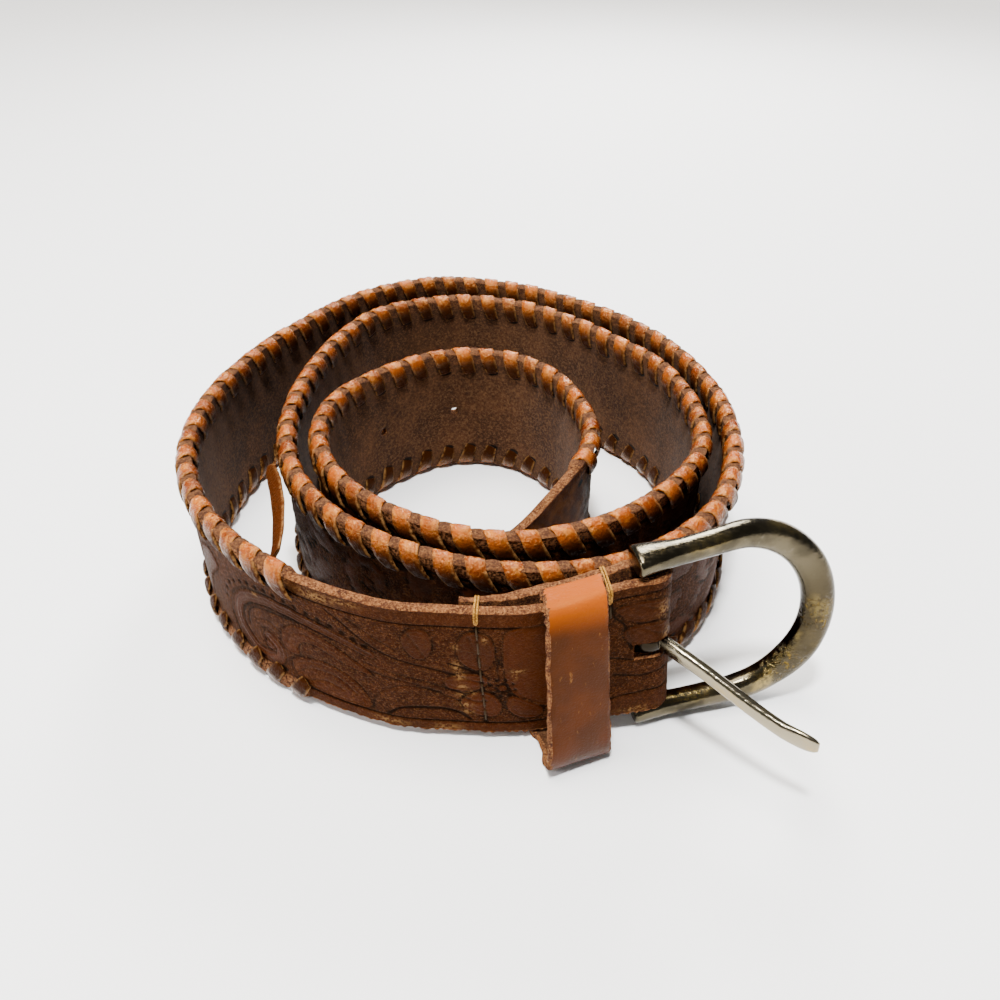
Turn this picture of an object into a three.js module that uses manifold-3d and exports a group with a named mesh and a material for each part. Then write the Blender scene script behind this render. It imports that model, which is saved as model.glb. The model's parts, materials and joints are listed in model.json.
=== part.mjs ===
// A western tooled belt, rolled up and lying on its lower edge: strap, laced edges, keeper, buckle and prong.
// Millimetres, +Z up. The front of the coil faces -Y and the buckle points to +X.
import * as THREE from 'three';
import { mergeVertices } from 'three/addons/utils/BufferGeometryUtils.js';
import Module from 'manifold-3d';

const wasm = await Module();
wasm.setup();

// Strap
const STRAP_WIDTH = 38;
const STRAP_THICK = 2.8;
const TIP_LENGTH = 44;
const FOLD_LENGTH = 42;
const SKIVED_THICK = 1.6;
const SKIVED_SHARE = 0.3;
const HOLE_DIAMETER = 3.2;
const HOLE_PITCH = 25.4;
const HOLE_COUNT = 5;
const FIRST_HOLE_FROM_TIP = 127;

// Edge lacing
const LACE_PITCH = 7.6;
const LACE_THICK = 1.3;
const LACE_CROWN = 2.1;
const LACE_REACH = 4.2;
const LACE_WIDTH = 4;
const LACE_LEAD = 5;
const LACE_TAIL_LENGTH = 33;
const LACE_TAIL_FROM = 8;
const LACE_TAIL_TILT = 37;

// Keeper
const KEEPER_WIDTH = 14;
const KEEPER_THICK = 1.6;
const KEEPER_BULGE = 8.2;
const KEEPER_SKEW = 0.28;
const KEEPER_ROOM = 0.5;
const KEEPER_FROM_BAR = 10.5;

// Buckle
const BAR_DIAMETER = 3.8;
const FRAME_WIRE = 5.2;
const FRAME_LENGTH = 40;
const FRAME_STRAIGHT = 19;
const FRAME_APEX_WIDTH = 7.4;
const FRAME_END_DEPTH = 8.4;
const FRAME_END_REACH = 3.6;
const FRAME_TURN_TOP = 6.5;
const FRAME_TURN_BOTTOM = -0.2;
const PRONG_LENGTH = 40;
const PRONG_WIDTH = 3.8;
const PRONG_THICK = 2.6;
const PRONG_OPEN = 47;
const PRONG_DROOP = 9;
const PRONG_BOW = 0.8;
const EYE_WALL = 1.9;

// How the belt lies
const INNER_RADIUS = 48;
const TURN_SLACK = 35;
const BAR_LEAN_BACK = 0.06;
const BAR_LEAN_ALONG = 0.075;
const LIFT_RUN = 30;

// Clearances
const GAP = 0.3;
const TURN_GAP = 1.2;
const FOLD_GAP = 0.5;
const ARM_GAP = 0.5;
const SLOT_GAP = 0.5;
const EYE_GAP = 0.35;

const ROUND_SIDES = 10;
const HOLE_SIDES = 10;
const BASE_STEP = 6;

const LACED_THICK = STRAP_THICK + 2 * (GAP + LACE_THICK);
const TURN_PITCH = LACED_THICK + TURN_GAP;
const STRAP_BOTTOM = Math.max(LACE_CROWN, KEEPER_THICK + KEEPER_ROOM);
const STRAP_TOP = STRAP_BOTTOM + STRAP_WIDTH;
const LOOP_RADIUS = BAR_DIAMETER / 2 + GAP + STRAP_THICK / 2;
const LAYER_OFFSET = STRAP_THICK + KEEPER_THICK + 2 * KEEPER_ROOM;
const LEAN_ROOM = (BAR_LEAN_BACK * STRAP_WIDTH) / 2;
const FOLD_STACK = LACED_THICK / 2 + FOLD_GAP + LEAN_ROOM + LAYER_OFFSET + STRAP_THICK / 2;
const LOOP_STACK = LACED_THICK / 2 + FOLD_GAP + LEAN_ROOM + 2 * LOOP_RADIUS + STRAP_THICK / 2;
const ARM_HEIGHT = STRAP_WIDTH / 2 + ARM_GAP + FRAME_WIRE / 2;
const BAR_MIDDLE = FRAME_WIRE / 2 + ARM_HEIGHT + FRAME_END_REACH * BAR_LEAN_ALONG;
const LIFT = BAR_MIDDLE - STRAP_WIDTH / 2 - STRAP_BOTTOM;

// The three laced turns by bearing, in degrees clockwise from +X: the innermost turn's radius as a share of
// INNER_RADIUS, then the extra room out to the middle and the outer turn as shares of TURN_SLACK.
const TURNS = [
  [120, 1.05, 0.06, 0.39],
  [140, 0.96, 0.04, 0.48],
  [160, 0.87, 0.04, 0.52],
  [180, 0.76, 0.13, 0.47],
  [200, 0.64, 0.33, 0.37],
  [220, 0.57, 0.56, 0.27],
  [240, 0.55, 0.81, 0.21],
  [260, 0.54, 0.88, 0.25],
  [280, 0.54, 0.83, 0.17],
  [300, 0.55, 0.71, 0.14],
  [320, 0.56, 0.64, 0.15],
  [340, 0.59, 0.68, 0.06],
  [360, 0.63, 0.70, 0.03],
  [380, 0.73, 0.65, 0.03],
  [400, 0.84, 0.48, 0.15],
  [420, 0.95, 0.30, 0.17],
  [440, 1.07, 0.08, 0.09],
  [460, 1.00, 0.01, 0.07],
].map(([bearing, inner, toMiddle, toOuter]) => ({ bearing, inner, toMiddle, toOuter }));

// The bare front outside the turns: its bearing, what lies between it and the outer turn, and the extra room.
const FRONT = [
  [61.8, LOOP_STACK, 0.00],
  [73, FOLD_STACK, 0.00],
  [82, FOLD_STACK, 0.03],
  [91, FOLD_STACK, 0.08],
  [101, FOLD_STACK, 0.17],
].map(([bearing, stack, room]) => ({ bearing, stack, room }));

// Half the tip's width as a share of half the strap's, by the share of TIP_LENGTH from its end
const TIP = [[1, 1], [0.85, 0.94], [0.7, 0.82], [0.5, 0.62], [0.3, 0.42], [0.12, 0.22], [0, 0.08]];

// The folded end, from its skived edge to the bar: share of FOLD_LENGTH from the bar, and how far the layer
// has opened from lying on the front layer (0) past the keeper (1) to the bar's own loop (2).
const FOLD = [[1, 0], [0.88, 0.05], [0.74, 0.5], [0.62, 1], [0.4, 1], [0.22, 1], [0.12, 1.4], [0, 2]];

// The lace's loose end, from its root: shares of its length along the front and inwards, drop below the upper
// edge as a share of STRAP_WIDTH, and width as a share of LACE_WIDTH
const LACE_TAIL = [
  [0.00, 0.00, 0.05, 0.90],
  [0.15, 0.13, 0.06, 1.00],
  [0.40, 0.30, 0.08, 1.05],
  [0.70, 0.46, 0.12, 1.00],
  [0.93, 0.56, 0.16, 0.85],
  [1.00, 0.58, 0.17, 0.45],
].map(([along, inward, height, width]) => ({ along, inward, height, width }));

// The keeper's inner outline: room in front of the strap as a share of KEEPER_BULGE, and height as a share of
// the strap's width, from the lower edge up the loose front to the upper edge
const KEEPER_FRONT = [
  [0.76, 0], [0.96, 0.04], [1, 0.13], [0.74, 0.38], [0.44, 0.7], [0.24, 0.93], [0.12, 0.985],
];

// The frame's bow: share of its length from the bar, offset towards the coil as a share of its length
const FRAME_BOW = [[-0.09, -0.053], [0.12, -0.015], [0.32, 0.001], [0.55, 0.023], [0.8, 0.025], [1, 0]];

// The prong: share of its length, bow as a share of PRONG_BOW, width and thickness as shares of its own
const PRONG = [
  [0.08, 0.00, 1.00, 1.00],
  [0.22, 0.92, 0.92, 1.00],
  [0.38, 1.00, 0.88, 1.00],
  [0.62, 1.02, 0.90, 0.98],
  [0.82, 0.90, 0.98, 0.86],
  [0.90, 0.45, 1.08, 0.70],
  [1.00, 0.00, 0.96, 0.52],
].map(([along, bow, width, thick]) => ({ along, bow, width, thick }));

const UP = new THREE.Vector3(0, 0, 1);
const radians = THREE.MathUtils.degToRad;
const smooth = (x) => THREE.MathUtils.smoothstep(x, 0, 1);

function between(rows, at) {
  const sorted = [...rows].sort((a, b) => a[0] - b[0]);
  const last = sorted.length - 1;
  if (at <= sorted[0][0]) return sorted[0][1];
  if (at >= sorted[last][0]) return sorted[last][1];
  const i = sorted.findIndex((row) => row[0] > at);
  const share = (at - sorted[i - 1][0]) / (sorted[i][0] - sorted[i - 1][0]);
  return THREE.MathUtils.lerp(sorted[i - 1][1], sorted[i][1], share);
}

// Joins a row of matching outlines into one closed solid. A station has an outline, an optional hole and a
// place that turns a point of them into a point in space.
function loft(stations) {
  const positions = [];
  const triangles = [];
  const { outline, hole = [] } = stations[0];
  const ringSize = outline.length + hole.length;
  for (const station of stations) {
    for (const corner of [...station.outline, ...(station.hole ?? [])]) {
      positions.push(...station.place(corner).toArray());
    }
  }
  const skin = (from, count, flip) => {
    for (let s = 0; s < stations.length - 1; s++) {
      for (let i = 0; i < count; i++) {
        const a = s * ringSize + from + i;
        const b = s * ringSize + from + ((i + 1) % count);
        const c = b + ringSize;
        const d = a + ringSize;
        triangles.push(...(flip ? [a, c, b, a, d, c] : [a, b, c, a, c, d]));
      }
    }
  };
  skin(0, outline.length, false);
  skin(outline.length, hole.length, true);
  const top = (stations.length - 1) * ringSize;
  const cap = (station, base, flip) => {
    const holes = station.hole ? [station.hole] : [];
    for (const [a, b, c] of THREE.ShapeUtils.triangulateShape(station.outline, holes)) {
      triangles.push(base + a, base + (flip ? c : b), base + (flip ? b : c));
    }
  };
  cap(stations[0], 0, true);
  cap(stations[stations.length - 1], top, false);
  const geometry = new THREE.BufferGeometry();
  geometry.setAttribute('position', new THREE.Float32BufferAttribute(positions, 3));
  geometry.setIndex(volumeOf(positions, triangles) < 0 ? turned(triangles) : triangles);
  return geometry;
}

function volumeOf(positions, triangles) {
  const corner = (i) => new THREE.Vector3().fromArray(positions, 3 * i);
  let six = 0;
  for (let i = 0; i < triangles.length; i += 3) {
    const [a, b, c] = [corner(triangles[i]), corner(triangles[i + 1]), corner(triangles[i + 2])];
    six += a.dot(b.cross(c));
  }
  return six / 6;
}

function turned(triangles) {
  const out = [];
  for (let i = 0; i < triangles.length; i += 3) out.push(triangles[i], triangles[i + 2], triangles[i + 1]);
  return out;
}

function solidOf(geometry) {
  const bare = geometry.clone();
  bare.deleteAttribute('normal');
  bare.deleteAttribute('uv');
  const merged = mergeVertices(bare, 1e-4);
  return new wasm.Manifold(new wasm.Mesh({
    numProp: 3,
    vertProperties: new Float32Array(merged.attributes.position.array),
    triVerts: new Uint32Array(merged.index.array),
  }));
}

function geometryOf(solid) {
  const { vertProperties, triVerts } = solid.getMesh();
  const geometry = new THREE.BufferGeometry();
  geometry.setAttribute('position', new THREE.BufferAttribute(vertProperties, 3));
  geometry.setIndex(new THREE.BufferAttribute(triVerts, 1));
  return geometry;
}

const v2 = (x, y) => new THREE.Vector2(x, y);
const circle = (halfX, halfY, sides) => Array.from({ length: sides }, (_, i) => {
  const angle = (2 * Math.PI * (i + 0.5)) / sides;
  return v2(halfX * Math.cos(angle), halfY * Math.sin(angle));
});

// The strap's middle line in plan, from the buckle bar inwards to the tip
function coilNodes() {
  const inner = TURNS.map((row) => row.inner * INNER_RADIUS);
  const middle = TURNS.map((row, i) => inner[i] + TURN_PITCH + row.toMiddle * TURN_SLACK);
  const outer = TURNS.map((row, i) => middle[i] + TURN_PITCH + row.toOuter * TURN_SLACK);
  const outerRows = [
    ...TURNS.map((row, i) => [row.bearing, outer[i]]),
    ...TURNS.slice(0, 2).map((row, i) => [row.bearing + 360, middle[i]]),
  ];
  const front = FRONT.map((row) => [
    row.bearing,
    between(outerRows, row.bearing + 360) + row.stack + row.room * TURN_SLACK,
  ]);
  const rows = [...front];
  for (const radii of [outer, middle, inner]) TURNS.forEach((row, i) => rows.push([row.bearing, radii[i]]));
  return rows.map(([bearing, radius]) => new THREE.Vector3(
    radius * Math.cos(radians(bearing)),
    -radius * Math.sin(radians(bearing)),
    0,
  ));
}

const nodes = coilNodes();
const middleLine = new THREE.CatmullRomCurve3(nodes, false, 'centripetal');
const CURVE_STEPS = 40;
middleLine.arcLengthDivisions = CURVE_STEPS * (nodes.length - 1);
const lengths = middleLine.getLengths();
const lineLength = lengths[lengths.length - 1];
const lengthAtNode = (index) => lengths[index * CURVE_STEPS];
const lacedFrom = lengthAtNode(FRONT.length) - LACE_LEAD;
const lacedTo = lineLength - TIP_LENGTH;
const innerTurnFrom = lengthAtNode(FRONT.length + 2 * TURNS.length);

function lineAt(distance) {
  const share = THREE.MathUtils.clamp(distance / lineLength, 0, 1);
  const point = middleLine.getPointAt(share);
  const along = middleLine.getTangentAt(share).normalize();
  const outward = new THREE.Vector3(-along.y, along.x, 0);
  return { point, along, outward };
}

// The buckle bar lies inside the fold, and the strap rises and leans with it over the last LIFT_RUN.
const start = lineAt(0);
const barFoot = start.point.clone().addScaledVector(start.outward, -LOOP_RADIUS);
const flatBarMiddle = barFoot.clone().setZ(STRAP_BOTTOM + STRAP_WIDTH / 2);
const barMiddle = barFoot.clone().setZ(BAR_MIDDLE);
const barAxis = UP.clone()
  .addScaledVector(start.outward, -BAR_LEAN_BACK)
  .addScaledVector(start.along, BAR_LEAN_ALONG)
  .normalize();
const barTurn = new THREE.Quaternion().setFromUnitVectors(UP, barAxis);
const toBuckle = start.along.clone().negate();

// Lifts and leans a point of the front stretch with the buckle bar; the floor side can stay down.
function settle(point, liftShare = 1) {
  const fromBar = point.clone().sub(flatBarMiddle).dot(start.along);
  const share = smooth(1 - (fromBar - LOOP_RADIUS) / (LIFT_RUN - LOOP_RADIUS));
  const leant = point.clone().sub(flatBarMiddle).applyQuaternion(barTurn).add(flatBarMiddle);
  leant.z += LIFT;
  const moved = leant.sub(point).multiplyScalar(share);
  moved.z *= liftShare;
  return point.clone().add(moved);
}

function inBuckle(along, inward, height) {
  const inwardAxis = new THREE.Vector3().crossVectors(UP, toBuckle);
  return toBuckle.clone().multiplyScalar(along)
    .addScaledVector(inwardAxis, inward)
    .addScaledVector(UP, height)
    .applyQuaternion(barTurn)
    .add(barMiddle);
}

const steps = (from, to, size) => {
  const count = Math.max(1, Math.round((to - from) / size));
  return Array.from({ length: count + 1 }, (_, i) => from + ((to - from) * i) / count);
};
const keeperStops = steps(KEEPER_FROM_BAR, KEEPER_FROM_BAR + KEEPER_WIDTH, KEEPER_WIDTH / 4);
const frontStops = [
  ...steps(0, KEEPER_FROM_BAR, BASE_STEP / 2),
  ...keeperStops.slice(1),
  ...steps(KEEPER_FROM_BAR + KEEPER_WIDTH, FOLD_LENGTH, BASE_STEP / 2).slice(1),
  ...steps(FOLD_LENGTH, lacedFrom, BASE_STEP).slice(1),
];
const foldStops = frontStops.filter((distance) => distance <= FOLD_LENGTH).reverse();
const stitchCount = Math.round((lacedTo - lacedFrom) / LACE_PITCH);
const stitchPitch = (lacedTo - lacedFrom) / stitchCount;
const lacedStops = [
  ...steps(lacedFrom, innerTurnFrom, stitchPitch).slice(0, -1),
  ...steps(innerTurnFrom, lacedTo, stitchPitch / 2),
];

const slab = (thick, low, high) => [
  v2(-thick / 2, low), v2(thick / 2, low), v2(thick / 2, high), v2(-thick / 2, high),
];
const upright = ({ point, outward }) => (corner) => (
  point.clone().addScaledVector(outward, corner.x).setZ(corner.y)
);
const fullWidth = slab(STRAP_THICK, STRAP_BOTTOM, STRAP_TOP);

function strapStations() {
  const stations = [];
  for (const distance of foldStops) {
    const share = distance / FOLD_LENGTH;
    const open = between(FOLD, share);
    const { point, outward } = lineAt(distance);
    const lying = STRAP_THICK + GAP;
    const offset = open <= 1
      ? THREE.MathUtils.lerp(lying, LAYER_OFFSET, open)
      : THREE.MathUtils.lerp(LAYER_OFFSET, 2 * LOOP_RADIUS, open - 1);
    const thick = THREE.MathUtils.lerp(SKIVED_THICK, STRAP_THICK, Math.min(1, (1 - share) / SKIVED_SHARE));
    const turnedOut = outward.clone().negate();
    const line = { point: point.addScaledVector(turnedOut, offset), outward: turnedOut };
    stations.push({ outline: slab(thick, STRAP_BOTTOM, STRAP_TOP), place: (c) => settle(upright(line)(c)) });
  }
  const LOOP_STEPS = 8;
  for (let i = 1; i < LOOP_STEPS; i++) {
    const angle = Math.PI * (1 - i / LOOP_STEPS);
    const outward = start.outward.clone().multiplyScalar(Math.cos(angle))
      .addScaledVector(toBuckle, Math.sin(angle));
    const line = { point: barFoot.clone().addScaledVector(outward, LOOP_RADIUS), outward };
    stations.push({ outline: fullWidth, place: (c) => settle(upright(line)(c)) });
  }
  for (const distance of frontStops.slice(0, -1)) {
    const line = lineAt(distance);
    stations.push({ outline: fullWidth, place: (c) => settle(upright(line)(c)) });
  }
  for (const distance of lacedStops.slice(0, -1)) {
    stations.push({ outline: fullWidth, place: upright(lineAt(distance)) });
  }
  const middleHeight = STRAP_BOTTOM + STRAP_WIDTH / 2;
  for (const [share, width] of TIP) {
    const half = (width * STRAP_WIDTH) / 2;
    const line = lineAt(lineLength - share * TIP_LENGTH);
    const outline = slab(STRAP_THICK, middleHeight - half, middleHeight + half);
    stations.push({ outline, place: upright(line) });
  }
  return stations;
}

// A round punch across the strap at its middle height
function punch(distance) {
  const { point, outward } = lineAt(distance);
  const reach = STRAP_THICK;
  const bore = new THREE.CylinderGeometry(HOLE_DIAMETER / 2, HOLE_DIAMETER / 2, 2 * reach, HOLE_SIDES);
  bore.applyQuaternion(new THREE.Quaternion().setFromUnitVectors(new THREE.Vector3(0, 1, 0), outward));
  bore.translate(point.x, point.y, STRAP_BOTTOM + STRAP_WIDTH / 2);
  return bore;
}

// The slot that lets the prong's eye sit on the bar and its shank swing
function prongSlot() {
  const reach = LOOP_RADIUS + STRAP_THICK;
  const left = -(LOOP_RADIUS + STRAP_THICK / 2 + SLOT_GAP);
  const half = PRONG_WIDTH / 2 + SLOT_GAP;
  const outline = [v2(left, -reach), v2(reach, -reach), v2(reach, reach), v2(left, reach)];
  return loft([-half, half].map((height) => ({ outline, place: (c) => inBuckle(c.x, c.y, height) })));
}

function strapGeometry() {
  let solid = solidOf(loft(strapStations())).subtract(solidOf(prongSlot()));
  for (let i = 0; i < HOLE_COUNT; i++) {
    const distance = lineLength - FIRST_HOLE_FROM_TIP - i * HOLE_PITCH;
    solid = solid.subtract(solidOf(punch(distance)));
  }
  return geometryOf(solid);
}

// One edge's lacing as a channel over the edge. Side is 1 at the upper edge and -1 at the lower.
function lacingGeometry(side) {
  const edge = side > 0 ? STRAP_TOP : STRAP_BOTTOM;
  const inside = STRAP_THICK / 2 + GAP;
  const outside = LACED_THICK / 2;
  const shoulder = LACE_THICK;
  const profile = [
    [inside, -LACE_REACH], [outside, -LACE_REACH],
    [outside, LACE_CROWN - shoulder], [outside - shoulder, LACE_CROWN],
    [shoulder - outside, LACE_CROWN], [-outside, LACE_CROWN - shoulder],
    [-outside, -LACE_REACH], [-inside, -LACE_REACH],
    [-inside, GAP], [inside, GAP],
  ];
  const outline = profile.map(([across, height]) => v2(across, edge + side * height));
  if (side < 0) outline.reverse();
  return loft(lacedStops.map((distance) => ({ outline, place: upright(lineAt(distance)) })));
}

// The lace's loose end leaves the first stitches and lies in the gap behind the front.
function tailGeometry() {
  const from = lineAt(lacedFrom + LACE_TAIL_FROM);
  const root = from.point.clone().addScaledVector(from.outward, -STRAP_THICK / 2 - GAP - LACE_WIDTH / 2);
  const run = lineAt(lacedFrom + LACE_TAIL_FROM + LACE_TAIL_LENGTH).point.sub(from.point).normalize();
  const across = from.outward.clone().negate();
  const tilt = radians(LACE_TAIL_TILT);
  const flat = across.clone().multiplyScalar(Math.cos(tilt)).addScaledVector(UP, Math.sin(tilt));
  const thin = new THREE.Vector3().crossVectors(run, flat).normalize();
  return loft(LACE_TAIL.map(({ along, inward, height, width }) => {
    const point = root.clone()
      .addScaledVector(run, along * LACE_TAIL_LENGTH)
      .addScaledVector(across, inward * LACE_TAIL_LENGTH)
      .setZ(STRAP_TOP - height * STRAP_WIDTH);
    return {
      outline: circle((width * LACE_WIDTH) / 2, LACE_THICK / 2, ROUND_SIDES),
      place: (c) => point.clone().addScaledVector(flat, c.x).addScaledVector(thin, c.y),
    };
  }));
}

// Moves each side of an outline outwards and meets the moved sides again
function widened(outline, distance) {
  const count = outline.length;
  return outline.map((corner, i) => {
    const before = corner.clone().sub(outline[(i + count - 1) % count]).normalize();
    const after = outline[(i + 1) % count].clone().sub(corner).normalize();
    const normal = v2(before.y, -before.x).add(v2(after.y, -after.x)).normalize();
    const stretch = normal.dot(v2(before.y, -before.x));
    return corner.clone().addScaledVector(normal, distance / stretch);
  });
}

// The keeper's hole at a share of its width, from the buckle's side. Its front sags more on the far side.
function keeperHole(share) {
  const back = -STRAP_THICK / 2 - KEEPER_ROOM;
  const low = STRAP_BOTTOM - KEEPER_ROOM;
  const high = STRAP_TOP + KEEPER_ROOM;
  const bulge = KEEPER_BULGE * (1 + KEEPER_SKEW * (2 * share - 1));
  const front = KEEPER_FRONT.map(([room, height]) => (
    v2(STRAP_THICK / 2 + room * bulge, THREE.MathUtils.lerp(low, high, height))
  ));
  return [v2(back, low), ...front, v2(STRAP_THICK / 2, high), v2(back, high)];
}

function keeperGeometry() {
  const heights = keeperHole(0).map((corner) => corner.y);
  const low = Math.min(...heights);
  const high = Math.max(...heights);
  return loft(keeperStops.map((distance, i) => {
    const line = lineAt(distance);
    const hole = keeperHole(i / (keeperStops.length - 1));
    return {
      outline: widened(hole, KEEPER_THICK),
      hole,
      place: (c) => settle(upright(line)(c), THREE.MathUtils.clamp((c.y - low) / (high - low), 0, 1)),
    };
  }));
}

// The frame's middle line: share 0 is the upper arm's end, 1 the lower arm's end
function frameLine() {
  const stops = [];
  const ARM_STEPS = 5;
  const BEND_STEPS = 14;
  const armStep = (FRAME_END_REACH + FRAME_STRAIGHT) / ARM_STEPS;
  for (const along of steps(-FRAME_END_REACH, FRAME_STRAIGHT, armStep)) {
    stops.push([along, ARM_HEIGHT]);
  }
  for (let i = 1; i < BEND_STEPS; i++) {
    const angle = (Math.PI * i) / BEND_STEPS;
    stops.push([
      FRAME_STRAIGHT + (FRAME_LENGTH - FRAME_STRAIGHT) * Math.sin(angle),
      ARM_HEIGHT * Math.cos(angle),
    ]);
  }
  const lower = stops.slice(0, ARM_STEPS + 1).reverse().map(([along]) => [along, -ARM_HEIGHT]);
  return [...stops, ...lower];
}

function inFrame(along, inward, height) {
  const upShare = (height / ARM_HEIGHT + 1) / 2;
  const turn = radians(THREE.MathUtils.lerp(FRAME_TURN_BOTTOM, FRAME_TURN_TOP, upShare));
  const bow = between(FRAME_BOW, along / FRAME_LENGTH) * FRAME_LENGTH + inward;
  return inBuckle(
    along * Math.cos(turn) - bow * Math.sin(turn),
    along * Math.sin(turn) + bow * Math.cos(turn),
    height,
  );
}

function frameGeometry() {
  const line = frameLine();
  const stations = line.map(([along, height], i) => {
    const before = line[Math.max(0, i - 1)];
    const after = line[Math.min(line.length - 1, i + 1)];
    const run = v2(after[0] - before[0], after[1] - before[1]).normalize();
    const apex = smooth((along - FRAME_STRAIGHT / 2) / (FRAME_LENGTH - FRAME_STRAIGHT / 2));
    const end = smooth(1 - (along + FRAME_END_REACH) / (3 * FRAME_END_REACH));
    const halfWidth = THREE.MathUtils.lerp(FRAME_WIRE, FRAME_APEX_WIDTH, apex) / 2;
    const flare = (FRAME_END_DEPTH - FRAME_WIRE) * end;
    const halfDepth = (FRAME_WIRE + flare) / 2;
    return {
      outline: circle(halfWidth, halfDepth, ROUND_SIDES),
      place: (c) => inFrame(along - c.x * run.y, c.y + flare / 2, height + c.x * run.x),
    };
  });
  const bar = loft([-ARM_HEIGHT, ARM_HEIGHT].map((height) => ({
    outline: circle(BAR_DIAMETER / 2, BAR_DIAMETER / 2, ROUND_SIDES),
    place: (c) => inBuckle(c.x, c.y, height),
  })));
  return geometryOf(solidOf(loft(stations)).add(solidOf(bar)));
}

function prongGeometry() {
  const eyeInside = BAR_DIAMETER / 2 + EYE_GAP;
  const eyeOutside = eyeInside + EYE_WALL;
  const EYE_SIDES = 16;
  const half = PRONG_WIDTH / 2;
  const eye = loft([-half, half].map((height) => ({
    outline: circle(eyeOutside, eyeOutside, EYE_SIDES),
    hole: circle(eyeInside, eyeInside, EYE_SIDES),
    place: (c) => inBuckle(c.x, c.y, height),
  })));
  const turn = radians(-PRONG_OPEN);
  const stations = PRONG.map(({ along, bow, width, thick }) => ({
    outline: circle((thick * PRONG_THICK) / 2, (width * PRONG_WIDTH) / 2, ROUND_SIDES),
    place: (c) => {
      const side = c.x - bow * PRONG_BOW;
      const reach = along * PRONG_LENGTH;
      return inBuckle(
        reach * Math.cos(turn) - side * Math.sin(turn),
        reach * Math.sin(turn) + side * Math.cos(turn),
        c.y - PRONG_DROOP * smooth((along - PRONG[0].along) / (1 - PRONG[0].along)),
      );
    },
  }));
  return geometryOf(solidOf(eye).add(solidOf(loft(stations))));
}

const leather = new THREE.MeshStandardMaterial({ color: 0x7a4122, roughness: 0.6, metalness: 0 });
const lace = new THREE.MeshStandardMaterial({ color: 0xb0632c, roughness: 0.45, metalness: 0 });
const keeperLeather = new THREE.MeshStandardMaterial({ color: 0xa9602f, roughness: 0.5, metalness: 0 });
const castMetal = new THREE.MeshStandardMaterial({ color: 0x9a9284, roughness: 0.3, metalness: 1 });

function piece(name, geometry, material) {
  const mesh = new THREE.Mesh(geometry, material);
  mesh.name = name;
  return mesh;
}

const belt = new THREE.Group();
belt.add(
  piece('strap', strapGeometry(), leather),
  piece('top_lacing', geometryOf(solidOf(lacingGeometry(1)).add(solidOf(tailGeometry()))), lace),
  piece('bottom_lacing', lacingGeometry(-1), lace),
  piece('keeper', keeperGeometry(), keeperLeather),
  piece('buckle_frame', frameGeometry(), castMetal),
  piece('prong', prongGeometry(), castMetal),
);

// The origin is the middle of the footprint, on the surface that the belt lies on.
const box = new THREE.Box3().setFromObject(belt);
const middle = box.getCenter(new THREE.Vector3());
belt.position.set(-middle.x, -middle.y, -box.min.z);
belt.updateMatrixWorld(true);

export default belt;
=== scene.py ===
import json
import math

import bmesh
import bpy
import numpy as np
from mathutils import Matrix, Vector


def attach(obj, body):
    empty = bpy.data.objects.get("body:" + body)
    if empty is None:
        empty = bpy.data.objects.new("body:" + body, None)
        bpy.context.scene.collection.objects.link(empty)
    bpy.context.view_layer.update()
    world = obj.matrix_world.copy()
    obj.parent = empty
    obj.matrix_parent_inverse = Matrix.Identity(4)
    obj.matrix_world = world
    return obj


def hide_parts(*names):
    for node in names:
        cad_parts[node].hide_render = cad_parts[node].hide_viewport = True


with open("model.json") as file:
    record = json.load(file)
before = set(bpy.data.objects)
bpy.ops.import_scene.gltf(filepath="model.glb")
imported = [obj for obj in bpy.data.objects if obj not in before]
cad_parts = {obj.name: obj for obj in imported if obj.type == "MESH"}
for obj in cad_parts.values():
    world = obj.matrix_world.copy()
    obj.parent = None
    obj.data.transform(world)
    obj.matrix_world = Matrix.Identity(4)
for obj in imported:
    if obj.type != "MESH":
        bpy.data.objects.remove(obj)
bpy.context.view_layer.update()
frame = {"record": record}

MM = 0.001
SEED = 7

# The belt's driving sizes, as in the part's source, in millimetres
STRAP_WIDTH = 38.0
STRAP_THICK = 2.8
TIP_LENGTH = 44.0
FOLD_LENGTH = 42.0
SKIVED_THICK = 1.6
SKIVED_SHARE = 0.3
HOLE_DIAMETER = 3.2
HOLE_PITCH = 25.4
HOLE_COUNT = 5
FIRST_HOLE_FROM_TIP = 127.0
LACE_PITCH = 7.6
LACE_THICK = 1.3
LACE_CROWN = 2.1
LACE_WIDTH = 4.0
LACE_LEAD = 5.0
LACE_TAIL_LENGTH = 33.0
LACE_TAIL_FROM = 8.0
KEEPER_WIDTH = 14.0
KEEPER_THICK = 1.6
KEEPER_BULGE = 8.2
KEEPER_SKEW = 0.28
KEEPER_ROOM = 0.5
KEEPER_FROM_BAR = 10.5
BAR_DIAMETER = 3.8
FRAME_WIRE = 5.2
FRAME_LENGTH = 40.0
FRAME_STRAIGHT = 19.0
FRAME_APEX_WIDTH = 7.4
FRAME_END_DEPTH = 8.4
FRAME_END_REACH = 3.6
FRAME_TURN_TOP = 6.5
FRAME_TURN_BOTTOM = -0.2
PRONG_LENGTH = 40.0
PRONG_WIDTH = 3.8
PRONG_THICK = 2.6
PRONG_OPEN = 47.0
PRONG_DROOP = 9.0
PRONG_BOW = 0.8
EYE_WALL = 1.9
INNER_RADIUS = 48.0
TURN_SLACK = 35.0
BAR_LEAN_BACK = 0.06
BAR_LEAN_ALONG = 0.075
LIFT_RUN = 30.0
GAP = 0.3
TURN_GAP = 1.2
FOLD_GAP = 0.5
ARM_GAP = 0.5
SLOT_GAP = 0.5
EYE_GAP = 0.35

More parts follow.
